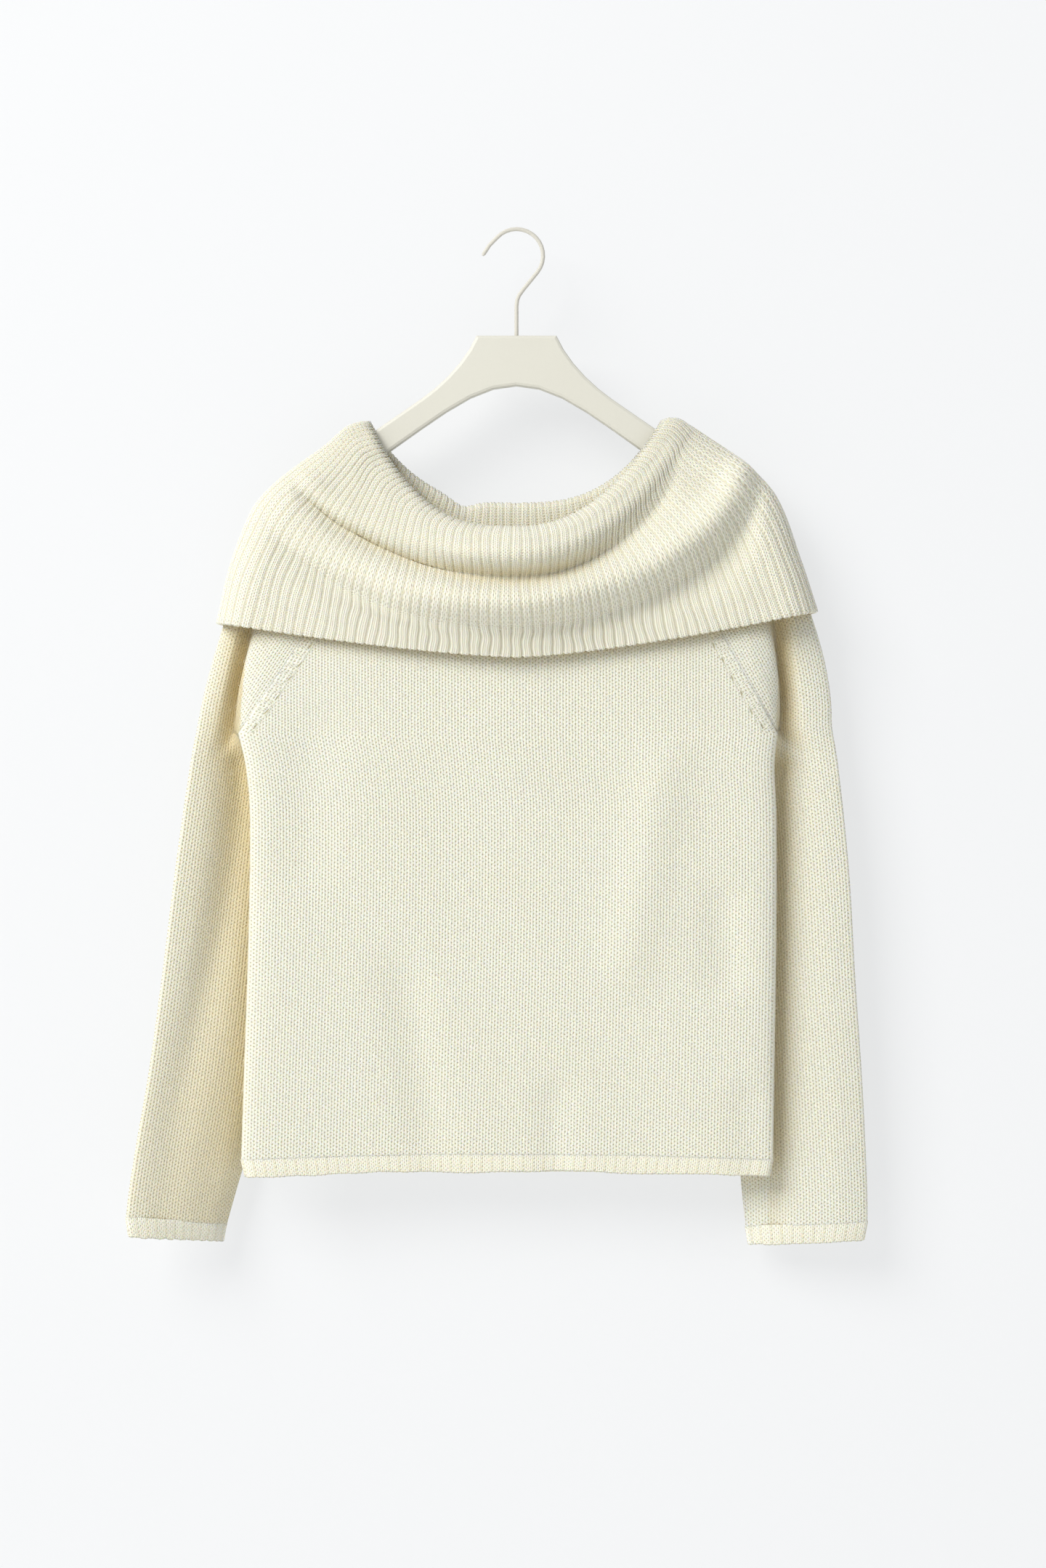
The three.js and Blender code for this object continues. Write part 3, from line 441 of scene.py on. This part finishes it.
# Front and back. Two shaped panels of plain knit, each about 440 mm wide at the hem and 370 mm
# high to the armpits, then narrowed along slanting raglan edges to the neck seam under the collar.
BODY = np.array([
    # side seams' z, left x, right x, side y, front's middle z, face y, middle y, the back's three
    [-767, -225.6, 210.2, -10, -763, -19, -10, -764.5, -1, 4],
    [-700, -223.5, 211.2, -9, -698, -20, -11, -698, 0, 5],
    [-577, -219.6, 213, -8, -576, -20, -12, -576, 1, 6],
    [-480, -218.6, 213, -8, -479, -19, -13, -479, 1, 7],
    [-442, -222, 211.5, -7.6, -442, -18.5, -14, -441, 1, 7.5],
    [-415, -228, 214, -7, -417, -18, -15, -412, 1, 8],
])
ARMPIT = BODY[-1]
NECK_SHARES = {"right_front": 0.16, "right_back": 0.34, "left_back": 0.66, "left_front": 0.84}
KNIT_WALL = 2.4
BODY_WALES = 87
BODY_ROWS, YOKE_ROWS = 100, 40
neck_ring = collar_rings(np.array([0.0]), 100)[0]


def neck(share):
    """Points of the neck seam, at shares of the way round from the front's middle."""
    spot = np.mod(share, 1) * len(neck_ring)
    k = np.floor(spot + 1e-9).astype(int)
    f = (spot - k)[..., None]
    return neck_ring[k % len(neck_ring)] * (1 - f) + neck_ring[(k + 1) % len(neck_ring)] * f


def raglan(side, face, f):
    """A raglan seam, f of the way from the armpit to the neck: straight from the front, and in
    depth it leaves the side seam quickly and eases into the neck seam."""
    corner = neck(np.array(NECK_SHARES[f"{side}_{face}"]))
    edge_x, face_y = ARMPIT[1 if side == "left" else 2], ARMPIT[5 if face == "front" else 8]
    leave = ARMPIT[3] + (face_y - ARMPIT[3]) * (1 - (1 - f) ** 4)
    return np.stack([
        edge_x + (corner[0] - edge_x) * f,
        leave + (corner[1] - leave) * f**2,
        ARMPIT[0] + (corner[2] - ARMPIT[0]) * f,
    ], axis=-1)


def creases(folds, x, z):
    """How far folds press a face back: a bell across each fold that fades towards its two ends."""
    total = np.zeros_like(x)
    for top_x, top_z, bottom_x, bottom_z, width, depth in folds:
        f = (z - top_z) / (bottom_z - top_z)
        ends = np.clip(np.minimum(f, 1 - f) * 4, 0, 1)
        across = (x - top_x - (bottom_x - top_x) * f) / width
        total += depth * ends * ends * (3 - 2 * ends) * np.exp(-across * across)
    return total


def panel_rows(left, right, face_y, mid_y, mid_z, across, folds):
    """Rows of a panel between its two edges: depth goes as the square from the middle to the face,
    then a high power rounds it off into the edges, and the middle hangs lower by a power. Three
    sines make it a little slack."""
    a = across[None]
    edge = left[:, None] + (right - left)[:, None] * ((a + 1) / 2)[..., None]
    full = np.clip(1 - np.abs(a) ** 20, 0, 1) ** 0.4
    face_y, mid_y, mid_z = (np.asarray(v)[:, None] for v in (face_y, mid_y, mid_z))
    z = mid_z + (edge[..., 2] - mid_z) * np.abs(a) ** 2.4
    x = edge[..., 0]
    slack = 0.5 * np.sin(x / 23 + z / 41) * np.sin(z / 57 - x / 90)
    slack += 0.35 * np.sin(z / 19 + x / 70)
    face = mid_y + (face_y - mid_y) * a**2 + creases(folds, x, z) + slack
    return np.stack([edge[..., 0], edge[..., 1] + (face - edge[..., 1]) * full, z], axis=2)


def panel_grid(face, folds, across):
    """A whole panel: sections up to the armpits, then the yoke between its raglan seams, whose
    rows take up the neck seam's curve as the square of the way up."""
    at = 4 if face == "front" else 7
    body = along(BODY, np.linspace(BODY[0, 0], ARMPIT[0], BODY_ROWS))
    sides = [np.stack([body[:, k], body[:, 3], body[:, 0]], axis=1) for k in (1, 2)]
    low = panel_rows(*sides, body[:, at + 1], body[:, at + 2], body[:, at], across, folds)
    f = np.linspace(0, 1, YOKE_ROWS)
    left, right = raglan("left", face, f), raglan("right", face, f)
    first, last = NECK_SHARES["left_" + face], NECK_SHARES["right_" + face]
    first -= 1 if face == "front" else 0
    seam = neck(first + (last - first) * (across + 1) / 2)
    middle = seam[len(seam) // 2]
    bow = ARMPIT[at + 1] + ((left[:, 1] + right[:, 1]) / 2 - ARMPIT[at + 1]) * f
    mid_y = ARMPIT[at + 2] + (middle[1] - ARMPIT[at + 2]) * f
    mid_z = ARMPIT[at] + (middle[2] - ARMPIT[at]) * f
    yoke = panel_rows(left, right, bow, mid_y, mid_z, across, folds)
    pull = seam - panel_rows(
        left[-1:], right[-1:], bow[-1:], mid_y[-1:], mid_z[-1:], across, folds
    )[0]
    pull[[0, -1]] = 0
    yoke = yoke + pull[None] * (f**2)[:, None, None]
    return np.concatenate([low, yoke[1:]])


FRONT_FOLDS = [
    # top x z, bottom x z, width and depth of each soft fold
    (-168, -380, -176, -560, 26, 3), (-100, -575, -66, -790, 20, 4),
    (128, -400, 84, -650, 22, -4), (167, -530, 172, -640, 18, 3.5),
    (32, -690, 30, -800, 15, 3), (190, -690, 196, -800, 18, 3),
]
BACK_FOLDS = [
    (-150, -400, -120, -600, 24, -3.5), (120, -420, 150, -640, 24, -3.5),
    (-60, -600, -48, -790, 22, -4), (70, -650, 60, -790, 20, -3),
]
# Painted shade: the plain knit's gap colour darkens the gaps between its yarns.
PLAIN_LIGHT, PLAIN_GAP_SHADE = (0.945, 0.928, 0.805), (0.69, 0.64, 0.43)
plain_knit = stitched("plain_knit", PLAIN_LIGHT, PLAIN_GAP_SHADE, False, 0.0018, (0.2, 0.93))
STITCH_WIDE, MARK_STEP = 5.0, 16.0


def eyelets(mesh_object, points, at):
    """Gives a grid's vertices the attribute eyelet: 1 at the vertex nearest to each mark."""
    flat = points.reshape(-1, 3)
    nearest = ((flat[None] - at[:, None]) ** 2).sum(axis=2).argmin(axis=1)
    values = np.zeros(len(flat), np.float32)
    values[nearest] = 1
    mesh_object.data.attributes.new("eyelet", "FLOAT", "POINT").data.foreach_set("value", values)


# Columns crowd towards the side edges, where a panel rounds off: they stand at the sines of equal
# angles through nearly half a turn.
PANEL_COLUMNS = 181
QUARTER = 0.995 * np.pi / 2
panel_across = np.sin(np.linspace(-QUARTER, QUARTER, PANEL_COLUMNS)) / math.sin(QUARTER)
for face, folds in (("front", FRONT_FOLDS), ("back", BACK_FOLDS)):
    grid = panel_grid(face, folds, panel_across)
    edges = along(BODY, np.clip(grid[:, 0, 2], None, ARMPIT[0]))
    wales = BODY_WALES * (grid[..., 0] - edges[:, 1:2]) / (edges[:, 2:3] - edges[:, 1:2])
    in_yoke = np.arange(len(grid))[:, None] >= BODY_ROWS
    marks = []
    for side, end, inward in (("left", 0, 1), ("right", -1, -1)):
        corner = raglan(side, face, np.array([0.0, 1.0]))
        slope = unit(corner[1] - corner[0])
        away = (grid[..., 0] - grid[:, end, 0][:, None]) * inward * slope[2]
        beside = (away < 2 * STITCH_WIDE) & in_yoke
        edge_wale = np.round(wales[:, end][:, None])
        wales = np.where(beside, away / STITCH_WIDE * inward + edge_wale, wales)
        steps = np.arange(0.03, 0.9, MARK_STEP / np.linalg.norm(corner[1] - corner[0]))
        inside = np.array([2 * STITCH_WIDE / slope[2] * inward, 0, 0])
        marks.append(raglan(side, face, steps) + inside)
    courses = np.cumsum(np.linalg.norm(np.gradient(grid, axis=0), axis=2), axis=0) / COURSE
    panel = cloth(face + "_panel", grid, wales, courses, flip=face == "back")
    eyelets(panel, grid, np.concatenate(marks))
    panel.modifiers.new("wall", "SOLIDIFY").thickness = KNIT_WALL * MM
    panel.modifiers["wall"].offset = 0
    panel.data.materials.append(plain_knit)
    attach(panel, "root")
    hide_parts(face)

# Sleeves. Tapered tubes of the same plain knit, pressed flat and hanging straight down, with
# their inner edges tucked behind the body. Above the armpits each opens into its raglan edges.
SLEEVES = {
    "left": np.array([
        # inner edge's z, outer x y z, inner x y, half depth, dent of the front face
        [-837, -318, -20, -827, -244.5, 26, 7, 0],
        [-824, -319.5, -20, -814, -242.5, 26, 9, 1],
        [-770, -312.5, -19, -762, -227, 25, 10, 3],
        [-700, -301, -17, -694, -208, 24, 10, 5],
        [-620, -290.5, -14, -616, -198, 23, 10, 7],
        [-540, -281, -11, -537, -200, 22, 10, 8],
        [-480, -273, -7, -476, -206, 21, 10, 8],
        [-438, -267, -2, -434, -217, 16, 9, 9],
    ]),
    "right": np.array([
        [-839, 287.5, 6, -833, 193, 22, 7, -1],
        [-826, 289.5, 6, -820, 191.5, 22, 9, 0],
        [-770, 288, 5, -766, 186, 22, 10, 1],
        [-700, 284.5, 4, -698, 184, 22, 10, 2],
        [-620, 279, 3, -618, 183, 22, 10, 3],
        [-540, 274.5, 3, -538, 186, 21, 10, 4],
        [-480, 269, 4, -477, 192, 20, 10, 5],
        [-438, 264, 6, -434, 205, 15, 8, 5],
    ]),
}
SHOULDERS = {
    # f, then x y of face, fold, crease, front, outer, back, back face and tuck, and the outer z
    "left": np.array([
        [0, -229.5, -4, -231, 4, -235, 14, -250, 4, -262.5, 4, -248, 20, -216, 21, -229, 7, -408],
        [0.45, -209, -15.5, -222, -9, -225, 12, -238, 1, -249.5, 6, -238, 20, -206, 17, -196, 9, -352],
    ]),
    "right": np.array([
        [0, 214.8, -4, 215.5, 4, 219, 13, 238, 4, 260, 8, 245, 20, 210, 20, 215, 6, -408],
        [0.45, 200, -15.5, 212, -9, 215.5, 11, 231, 1, 252, 7, 238, 20, 200, 18, 189, 10, -347],
    ]),
}
# Ten knots go round each row, from the body's front seam by the outer fold to the back seam:
# their shares of the leaf's width, of the rise to the outer fold and of the neck seam, the steps
# between them, and the face that each lies on.
ACROSS = np.array([1, 0.84, 0.64, 0.44, 0.17, 0, 0.3, 0.72, 0.95, 1])
RISE = np.array([0, 0.12, 0.3, 0.45, 0.8, 1, 0.6, 0.15, 0.04, 0])
NECK_SHARE = np.array([0, 0.14, 0.27, 0.37, 0.45, 0.5, 0.62, 0.82, 0.94, 1])
STEPS = [3, 2, 2, 2, 3, 3, 2, 2, 2]
FACE_SIDE = np.array([0, -1, -1, -1, -1, 0, 1, 1, 1, 0])
SLEEVE_FINE = 6
OUTER_FOLD, CREASE = sum(STEPS[:5]) * SLEEVE_FINE, sum(STEPS[:3]) * SLEEVE_FINE
SLEEVE_ROWS, TUBE_LOW, CAP_LOW, SLEEVE_TOP = 170, -800, -408, -303
HOLLOW_TOP, HOLLOW_FADE = -404, 34
HOLLOWS = {
    # z, then the x, depth and half width of the long hollow in a sleeve's front
    "left": np.array([
        [-826, -296, 2, 14], [-740, -284, 4.5, 16], [-650, -264, 6, 16], [-560, -243, 6, 15],
        [-470, -231, 6, 12], [-412, -231, 6, 10], [-300, -231, 0, 10],
    ]),
    "right": np.array([
        [-826, 213, 2, 10], [-650, 215, 3, 10], [-470, 217, 4, 9], [-412, 218, 5, 9],
        [-300, 218, 0, 9],
    ]),
}
SHADE_BESIDE_BODY = {
    # z, the body's edge beside the sleeve, and how much and how far painted shade yellows the sleeve
    # there
    "left": np.array([
        [-840, -226, 0.5, 95], [-740, -225, 0.55, 85], [-650, -222, 0.55, 62],
        [-530, -219, 0.62, 46], [-440, -222, 0.85, 32], [-415, -228, 0.85, 26],
        [-329, -221, 0.85, 18], [-280, -221, 0.85, 18],
    ]),
    "right": np.array([
        [-840, 210, 0.2, 14], [-650, 212, 0.2, 14], [-480, 213, 0.25, 14], [-415, 214, 0.4, 14],
        [-329, 217, 0.5, 14], [-280, 217, 0.5, 14],
    ]),
}


def threaded(knots):
    """Smooth lines through rows of knots: between two knots a cubic, whose slopes come from the
    neighbours at distances taken to the power of a half."""
    ends = [2 * knots[:, :1] - knots[:, 1:2], 2 * knots[:, -1:] - knots[:, -2:-1]]
    p = np.concatenate([ends[0], knots, ends[1]], axis=1)
    gap = np.sqrt(np.linalg.norm(np.diff(p, axis=1), axis=2))[..., None]
    parts = []
    for k, steps in enumerate(STEPS):
        p0, p1, p2, p3 = (p[:, k + j] for j in range(4))
        d1 = np.maximum(gap[:, k + 1], 1e-4)
        d0, d2 = (np.where(gap[:, k + j] < 1e-4, d1, gap[:, k + j]) for j in (0, 2))
        m1 = d1 * ((p1 - p0) / d0 - (p2 - p0) / (d0 + d1) + (p2 - p1) / d1)
        m2 = d1 * ((p2 - p1) / d1 - (p3 - p1) / (d1 + d2) + (p3 - p2) / d2)
        f = np.linspace(0, 1, steps * SLEEVE_FINE + 1)[None, :-1, None]
        p1, p2, m1, m2 = (v[:, None] for v in (p1, p2, m1, m2))
        parts.append(
            p1 + m1 * f + (3 * (p2 - p1) - 2 * m1 - m2) * f**2 + (2 * (p1 - p2) + m1 + m2) * f**3
        )
    return np.concatenate([*parts, knots[:, -1:]], axis=1)


def tube_rows(side, z):
    """A sleeve's rows below the armpit: a leaf round the line from its outer to its inner edge,
    with the front face dented by the square of the leaf."""
    s = along(SLEEVES[side], z)
    outer, inner = s[:, 1:4], np.stack([s[:, 4], s[:, 5], s[:, 0]], axis=1)
    way = -1 if side == "right" else 1
    width = inner - outer
    back = unit(np.stack([-width[:, 1], width[:, 0], 0 * width[:, 0]], axis=1)) * way
    leaf = 2 * np.sqrt(ACROSS * (1 - ACROSS))[None]
    depth = FACE_SIDE * s[:, 6:7] * leaf + (FACE_SIDE < 0) * s[:, 7:8] * leaf**2
    line = outer[:, None] + width[:, None] * ACROSS[None, :, None]
    return threaded(line + back[:, None] * depth[..., None])


def shoulder_rows(side, f):
    """A sleeve's rows above the armpit: of second order in f through the armpit's row, a middle
    row and the neck seam, with the raglan seams at their ends."""
    first, last = NECK_SHARES[side + "_front"], NECK_SHARES[side + "_back"]
    given = []
    for row in SHOULDERS[side]:
        seam_z = raglan(side, "front", np.array(row[0]))[2]
        z = seam_z + (row[-1] - seam_z) * RISE[1:-1]
        given.append(np.stack([row[1:-1:2], row[2:-1:2], z], axis=1))
    top = neck(first + (last - first) * NECK_SHARE[1:-1])
    m = SHOULDERS[side][1, 0]
    f = f[:, None, None]
    inner = (
        given[0] * (f - m) * (f - 1) / m + given[1] * f * (f - 1) / (m * (m - 1))
        + top * f * (f - m) / (1 - m)
    )
    f = f[:, 0, 0]
    ends = [raglan(side, face, f)[:, None] for face in ("front", "back")]
    rows = threaded(np.concatenate([ends[0], inner, ends[1]], axis=1))
    if f[-1] == 1:
        even = np.concatenate([
            np.linspace(NECK_SHARE[k], NECK_SHARE[k + 1], steps * SLEEVE_FINE + 1)[:-1]
            for k, steps in enumerate(STEPS)
        ] + [[1.0]])
        rows[-1] = neck(first + (last - first) * even)
    return rows


def by_height(table, grid):
    """A table's columns at the height of every point of a grid, held at the table's two ends."""
    height = np.clip(grid[..., 2], table[0, 0], table[-1, 0])
    return along(table, height.ravel()).T[1:].reshape(-1, *height.shape)


for side in ("left", "right"):
    # Rows of the tube and of the cap, keyed by their outer fold's height, give even finer rows.
    low = SLEEVES[side][1, 0]
    tube_z = np.concatenate([[low], np.linspace(TUBE_LOW, SLEEVES[side][-1, 0], 18)])
    up = np.linspace(0, 1, 11)
    stations = np.concatenate([tube_rows(side, tube_z), shoulder_rows(side, up)])
    keys = np.concatenate([tube_z, CAP_LOW + (SLEEVE_TOP - CAP_LOW) * up])
    flat = np.column_stack([keys, stations.reshape(len(keys), -1)])
    dense = along(flat, np.linspace(low, SLEEVE_TOP, SLEEVE_ROWS))[:, 1:]
    dense = dense.reshape(SLEEVE_ROWS, -1, 3)

    # The long hollow beside the body, on the front face alone.
    facing = np.arange(dense.shape[1]) <= OUTER_FOLD
    there, deep, wide = by_height(HOLLOWS[side], dense)
    fade = np.clip((HOLLOW_TOP - dense[..., 2]) / HOLLOW_FADE, 0, 1)
    dense[..., 1] += deep * fade * bell(dense[..., 0], there, wide) * facing

    # Wales are counted from the outer fold, but above the armpit, up to the crease, from the seam.
    reach = np.cumsum(np.linalg.norm(np.diff(dense, axis=1), axis=2), axis=1)
    reach = np.pad(reach, ((0, 0), (1, 0)))
    wales = (reach - reach[:, OUTER_FOLD : OUTER_FOLD + 1]) / STITCH_WIDE
    cap = dense[:, 0, 2] > ARMPIT[0]
    wales[cap, :CREASE] = reach[cap, :CREASE] / STITCH_WIDE
    courses = np.cumsum(np.linalg.norm(np.gradient(dense, axis=0), axis=2), axis=0)
    courses = np.repeat(courses.mean(axis=1, keepdims=True), dense.shape[1], axis=1) / COURSE
    sleeve = cloth(side + "_sleeve", dense, wales, courses, flip=side == "left")

    # Beside the body's edge, where the sleeve lies behind the body, painted shade turns its front face
    # to deep straw, strongest at the edge and fading outwards.
    edge, share, fades = by_height(SHADE_BESIDE_BODY[side], dense)
    beyond = np.clip((dense[..., 0] - edge) * (1 if side == "right" else -1), -1, None)
    share = share * facing * (beyond > -1) * bell(beyond, 0, fades)
    sleeve.data.attributes.new("painted_shade", "FLOAT", "POINT").data.foreach_set(
        "value", share.astype(np.float32).ravel()
    )
    sleeve.modifiers.new("wall", "SOLIDIFY").thickness = KNIT_WALL * MM
    sleeve.modifiers["wall"].offset = 0
    sleeve.data.materials.append(plain_knit)
    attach(sleeve, "root")
    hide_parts("sleeve_" + side)

# Hem band and cuffs. Narrow bands of the same rib, 12 mm deep, knitted on at the lower edges.
BAND_DEPTH, HALF_BAND_WALL = 12, 1.3
HEM_RIBS, CUFF_RIBS = 104, 23
# Painted shade: the bands' gap colour darkens the troughs between their ribs.
BAND_GAP_SHADE = (0.80, 0.77, 0.60)
band_knit = stitched("band_knit", KNIT_LIGHT, BAND_GAP_SHADE, True, 0.001, (0.0, 0.5))
BAND_HEIGHTS = RIB_HEIGHTS * 0.5


def closed_ring(ring, count):
    """A closed line again as count points at equal distances."""
    return evened(ring[None], count)[0][:-1]


def band(name, high, low, ribs, node_name):
    """A ribbed band between two rings, with rows at even steps from the upper to the lower one.
    The first row lies a little higher, inside the wall that the band is knitted on to, and the
    lower edge draws in by a hundredth and waves a little."""
    middle = (low.max(axis=0) + low.min(axis=0)) / 2
    low = middle + (low - middle) * [0.988, 1, 1]
    low[:, 2] += 0.6 * np.sin(low[:, 0] / 23) + 0.4 * np.sin(low[:, 0] / 9 + low[:, 1])
    high, low = (closed_ring(ring, ribs * RIB_COLUMNS) for ring in (high, low))
    f = np.concatenate([[-0.22], np.linspace(-0.1, 1, 9)])
    rows = high + (low - high) * f[:, None, None]
    way = -unit(np.cross(ahead(rows, 0, False), ahead(rows, 1, True)))
    made = ribbed_tube(
        name, rows, way, np.tile(BAND_HEIGHTS, ribs), 4 * f, HALF_BAND_WALL, 0.8, 0.5, flip=True
    )
    made.data.materials.append(band_knit)
    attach(made, "root")
    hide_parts(node_name)


front_hem, back_hem = (
    panel_grid(face, folds, panel_across)[0]
    for face, folds in (("front", FRONT_FOLDS), ("back", BACK_FOLDS))
)
hem_ring = np.concatenate([front_hem, back_hem[-2::-1]])
band(
    "hem_band_knit", hem_ring, hem_ring - [0, 0, BAND_DEPTH], HEM_RIBS, "hem_band",
)
for side in ("left", "right"):
    low, high = tube_rows(side, SLEEVES[side][:2, 0])
    if side == "left":
        low, high = low[::-1], high[::-1]
    band(side + "_cuff_knit", high, low, CUFF_RIBS, "cuff_" + side)

# Loose fibres. The brushed wool's fine hairs, 2 to 6 mm long, that stand off every cloth face and
# soften its outline. Each is a curved three-sided spike, rooted in the cloth.
HAIRS_PER_CM2 = {
    "ribbed_collar": 1.2, "front_panel": 1.0, "back_panel": 0.8, "left_sleeve": 1.8,
    "right_sleeve": 1.8, "hem_band_knit": 4.0, "left_cuff_knit": 5.0, "right_cuff_knit": 5.0,
}
HAIR_RADIUS = 0.0001
rng = np.random.default_rng(7)


def rooted(cloth_object, density):
    """Random places on a mesh's faces, spread evenly by area, with the faces' normals."""
    mesh = cloth_object.data
    count = len(mesh.polygons)
    areas, normals, corners = np.empty(count), np.empty(count * 3), np.empty(count * 4, int)
    points = np.empty(len(mesh.vertices) * 3)
    mesh.polygons.foreach_get("area", areas)
    mesh.polygons.foreach_get("normal", normals)
    mesh.polygons.foreach_get("vertices", corners)
    mesh.vertices.foreach_get("co", points)
    points, normals = points.reshape(-1, 3), normals.reshape(-1, 3)
    chosen = rng.choice(count, int(areas.sum() * 1e4 * density), p=areas / areas.sum())
    share = rng.dirichlet(np.ones(4), len(chosen))
    roots = (points[corners.reshape(-1, 4)[chosen]] * share[..., None]).sum(axis=1)
    return roots, normals[chosen]


places = [rooted(bpy.data.objects[name], density) for name, density in HAIRS_PER_CM2.items()]
roots, normals = (np.concatenate(part) for part in zip(*places))
length = rng.uniform(0.002, 0.006, len(roots))[:, None]
lean = unit(np.cross(normals, rng.normal(size=roots.shape)))
curl = unit(rng.normal(size=roots.shape))
middle = roots + (normals * 0.45 + lean * 0.35) * length
tips = middle + (normals * 0.12 + lean * 0.35 + curl * 0.3) * length
side_a = unit(np.cross(lean, normals)) * HAIR_RADIUS
side_b = unit(np.cross(tips - roots, side_a)) * HAIR_RADIUS
rings = [
    centre + side_a * math.cos(turn) + side_b * math.sin(turn)
    for centre in (roots, middle) for turn in np.radians([0, 120, 240])
]
vertices = np.stack([*rings, tips], axis=1)
# A hair's seven vertices are two triangles and a tip, and these are its ten faces.
pattern = np.array([
    [0, 1, 4], [0, 4, 3], [1, 2, 5], [1, 5, 4], [2, 0, 3], [2, 3, 5], [3, 4, 6], [4, 5, 6],
    [5, 3, 6], [0, 2, 1],
])
faces = (np.arange(len(roots))[:, None, None] * 7 + pattern).reshape(-1, 3)
mesh = bpy.data.meshes.new("loose_fibres")
mesh.from_pydata(vertices.reshape(-1, 3), [], faces)
fibres = bpy.data.objects.new("loose_fibres", mesh)
scene.collection.objects.link(fibres)
wool, tree, shader = blank("wool_fibre")
spot = node(tree, "TexCoord", {}).outputs["Object"]
tone = node(tree, "TexNoise", {"Vector": spot, "Scale": 60.0}).outputs[0]
tone = blended(tree, tone, (0.86, 0.84, 0.71), (0.93, 0.92, 0.83))
tree.links.new(tone, shader.inputs["Base Color"])
shader.inputs["Roughness"].default_value = 0.8
mesh.materials.append(wool)
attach(fibres, "root")

# Room. A white wall close behind, which shows on its front side only, a pale floor, the light of
# a wide window from the upper left, and a camera level with the sweater's middle, 3 m away.
WALL_Y, WALL_TOP, FLOOR_Z, HALF_ROOM, ROOM_FRONT = 0.052, 3, -1.3, 4, 5


def board(name, corners, colour, glow, one_sided):
    """A flat plain surface of the room, lit from within by its glow."""
    mesh = bpy.data.meshes.new(name)
    mesh.from_pydata(corners, [], [(0, 1, 2, 3)])
    made = bpy.data.objects.new(name, mesh)
    scene.collection.objects.link(made)
    material, tree, shader = blank(name + "_paint")
    shader.inputs["Base Color"].default_value = (*colour, 1)
    shader.inputs["Emission Color"].default_value = (*colour, 1)
    shader.inputs["Emission Strength"].default_value = glow
    shader.inputs["Roughness"].default_value = 0.9
    if one_sided:
        mixed = node(tree, "MixShader", {
            0: node(tree, "NewGeometry", {}).outputs["Backfacing"],
            1: shader.outputs[0],
            2: node(tree, "BsdfTransparent", {}).outputs[0],
        })
        tree.links.new(mixed.outputs[0], tree.nodes["Material Output"].inputs[0])
    mesh.materials.append(material)
    return made


board(
    "wall",
    [
        (-HALF_ROOM, WALL_Y, FLOOR_Z), (HALF_ROOM, WALL_Y, FLOOR_Z),
        (HALF_ROOM, WALL_Y, WALL_TOP), (-HALF_ROOM, WALL_Y, WALL_TOP),
    ],
    (0.222, 0.2245, 0.2265), 2.9, True,
)
board(
    "floor",
    [
        (-HALF_ROOM, -ROOM_FRONT, FLOOR_Z), (HALF_ROOM, -ROOM_FRONT, FLOOR_Z),
        (HALF_ROOM, ROOM_FRONT, FLOOR_Z), (-HALF_ROOM, ROOM_FRONT, FLOOR_Z),
    ],
    (0.86, 0.86, 0.85), 0.0, False,
)

window = bpy.data.lights.new("window", "AREA")
window.shape, window.size, window.size_y = "RECTANGLE", 3.2, 3.0
window.energy = 305
window.color = (1.0, 0.99, 0.97)
lamp = bpy.data.objects.new("window", window)
lamp.location = (-3.0, -3.7, 2.6)
lamp.rotation_euler = (math.radians(57.4), 0, math.radians(-39))
scene.collection.objects.link(lamp)
scene.world = bpy.data.worlds.new("room")
scene.world.use_nodes = True
sky = scene.world.node_tree.nodes["Background"]
sky.inputs[0].default_value = (0.93, 0.95, 1.0, 1)
sky.inputs[1].default_value = 0.43

camera = bpy.data.objects.new("camera", bpy.data.cameras.new("camera"))
camera.location = (0.0054, -3.0, -0.4566)
camera.rotation_euler = (math.radians(90), 0, 0)
camera.data.lens = 83.4
camera.data.sensor_width = 36
scene.collection.objects.link(camera)
scene.camera = camera
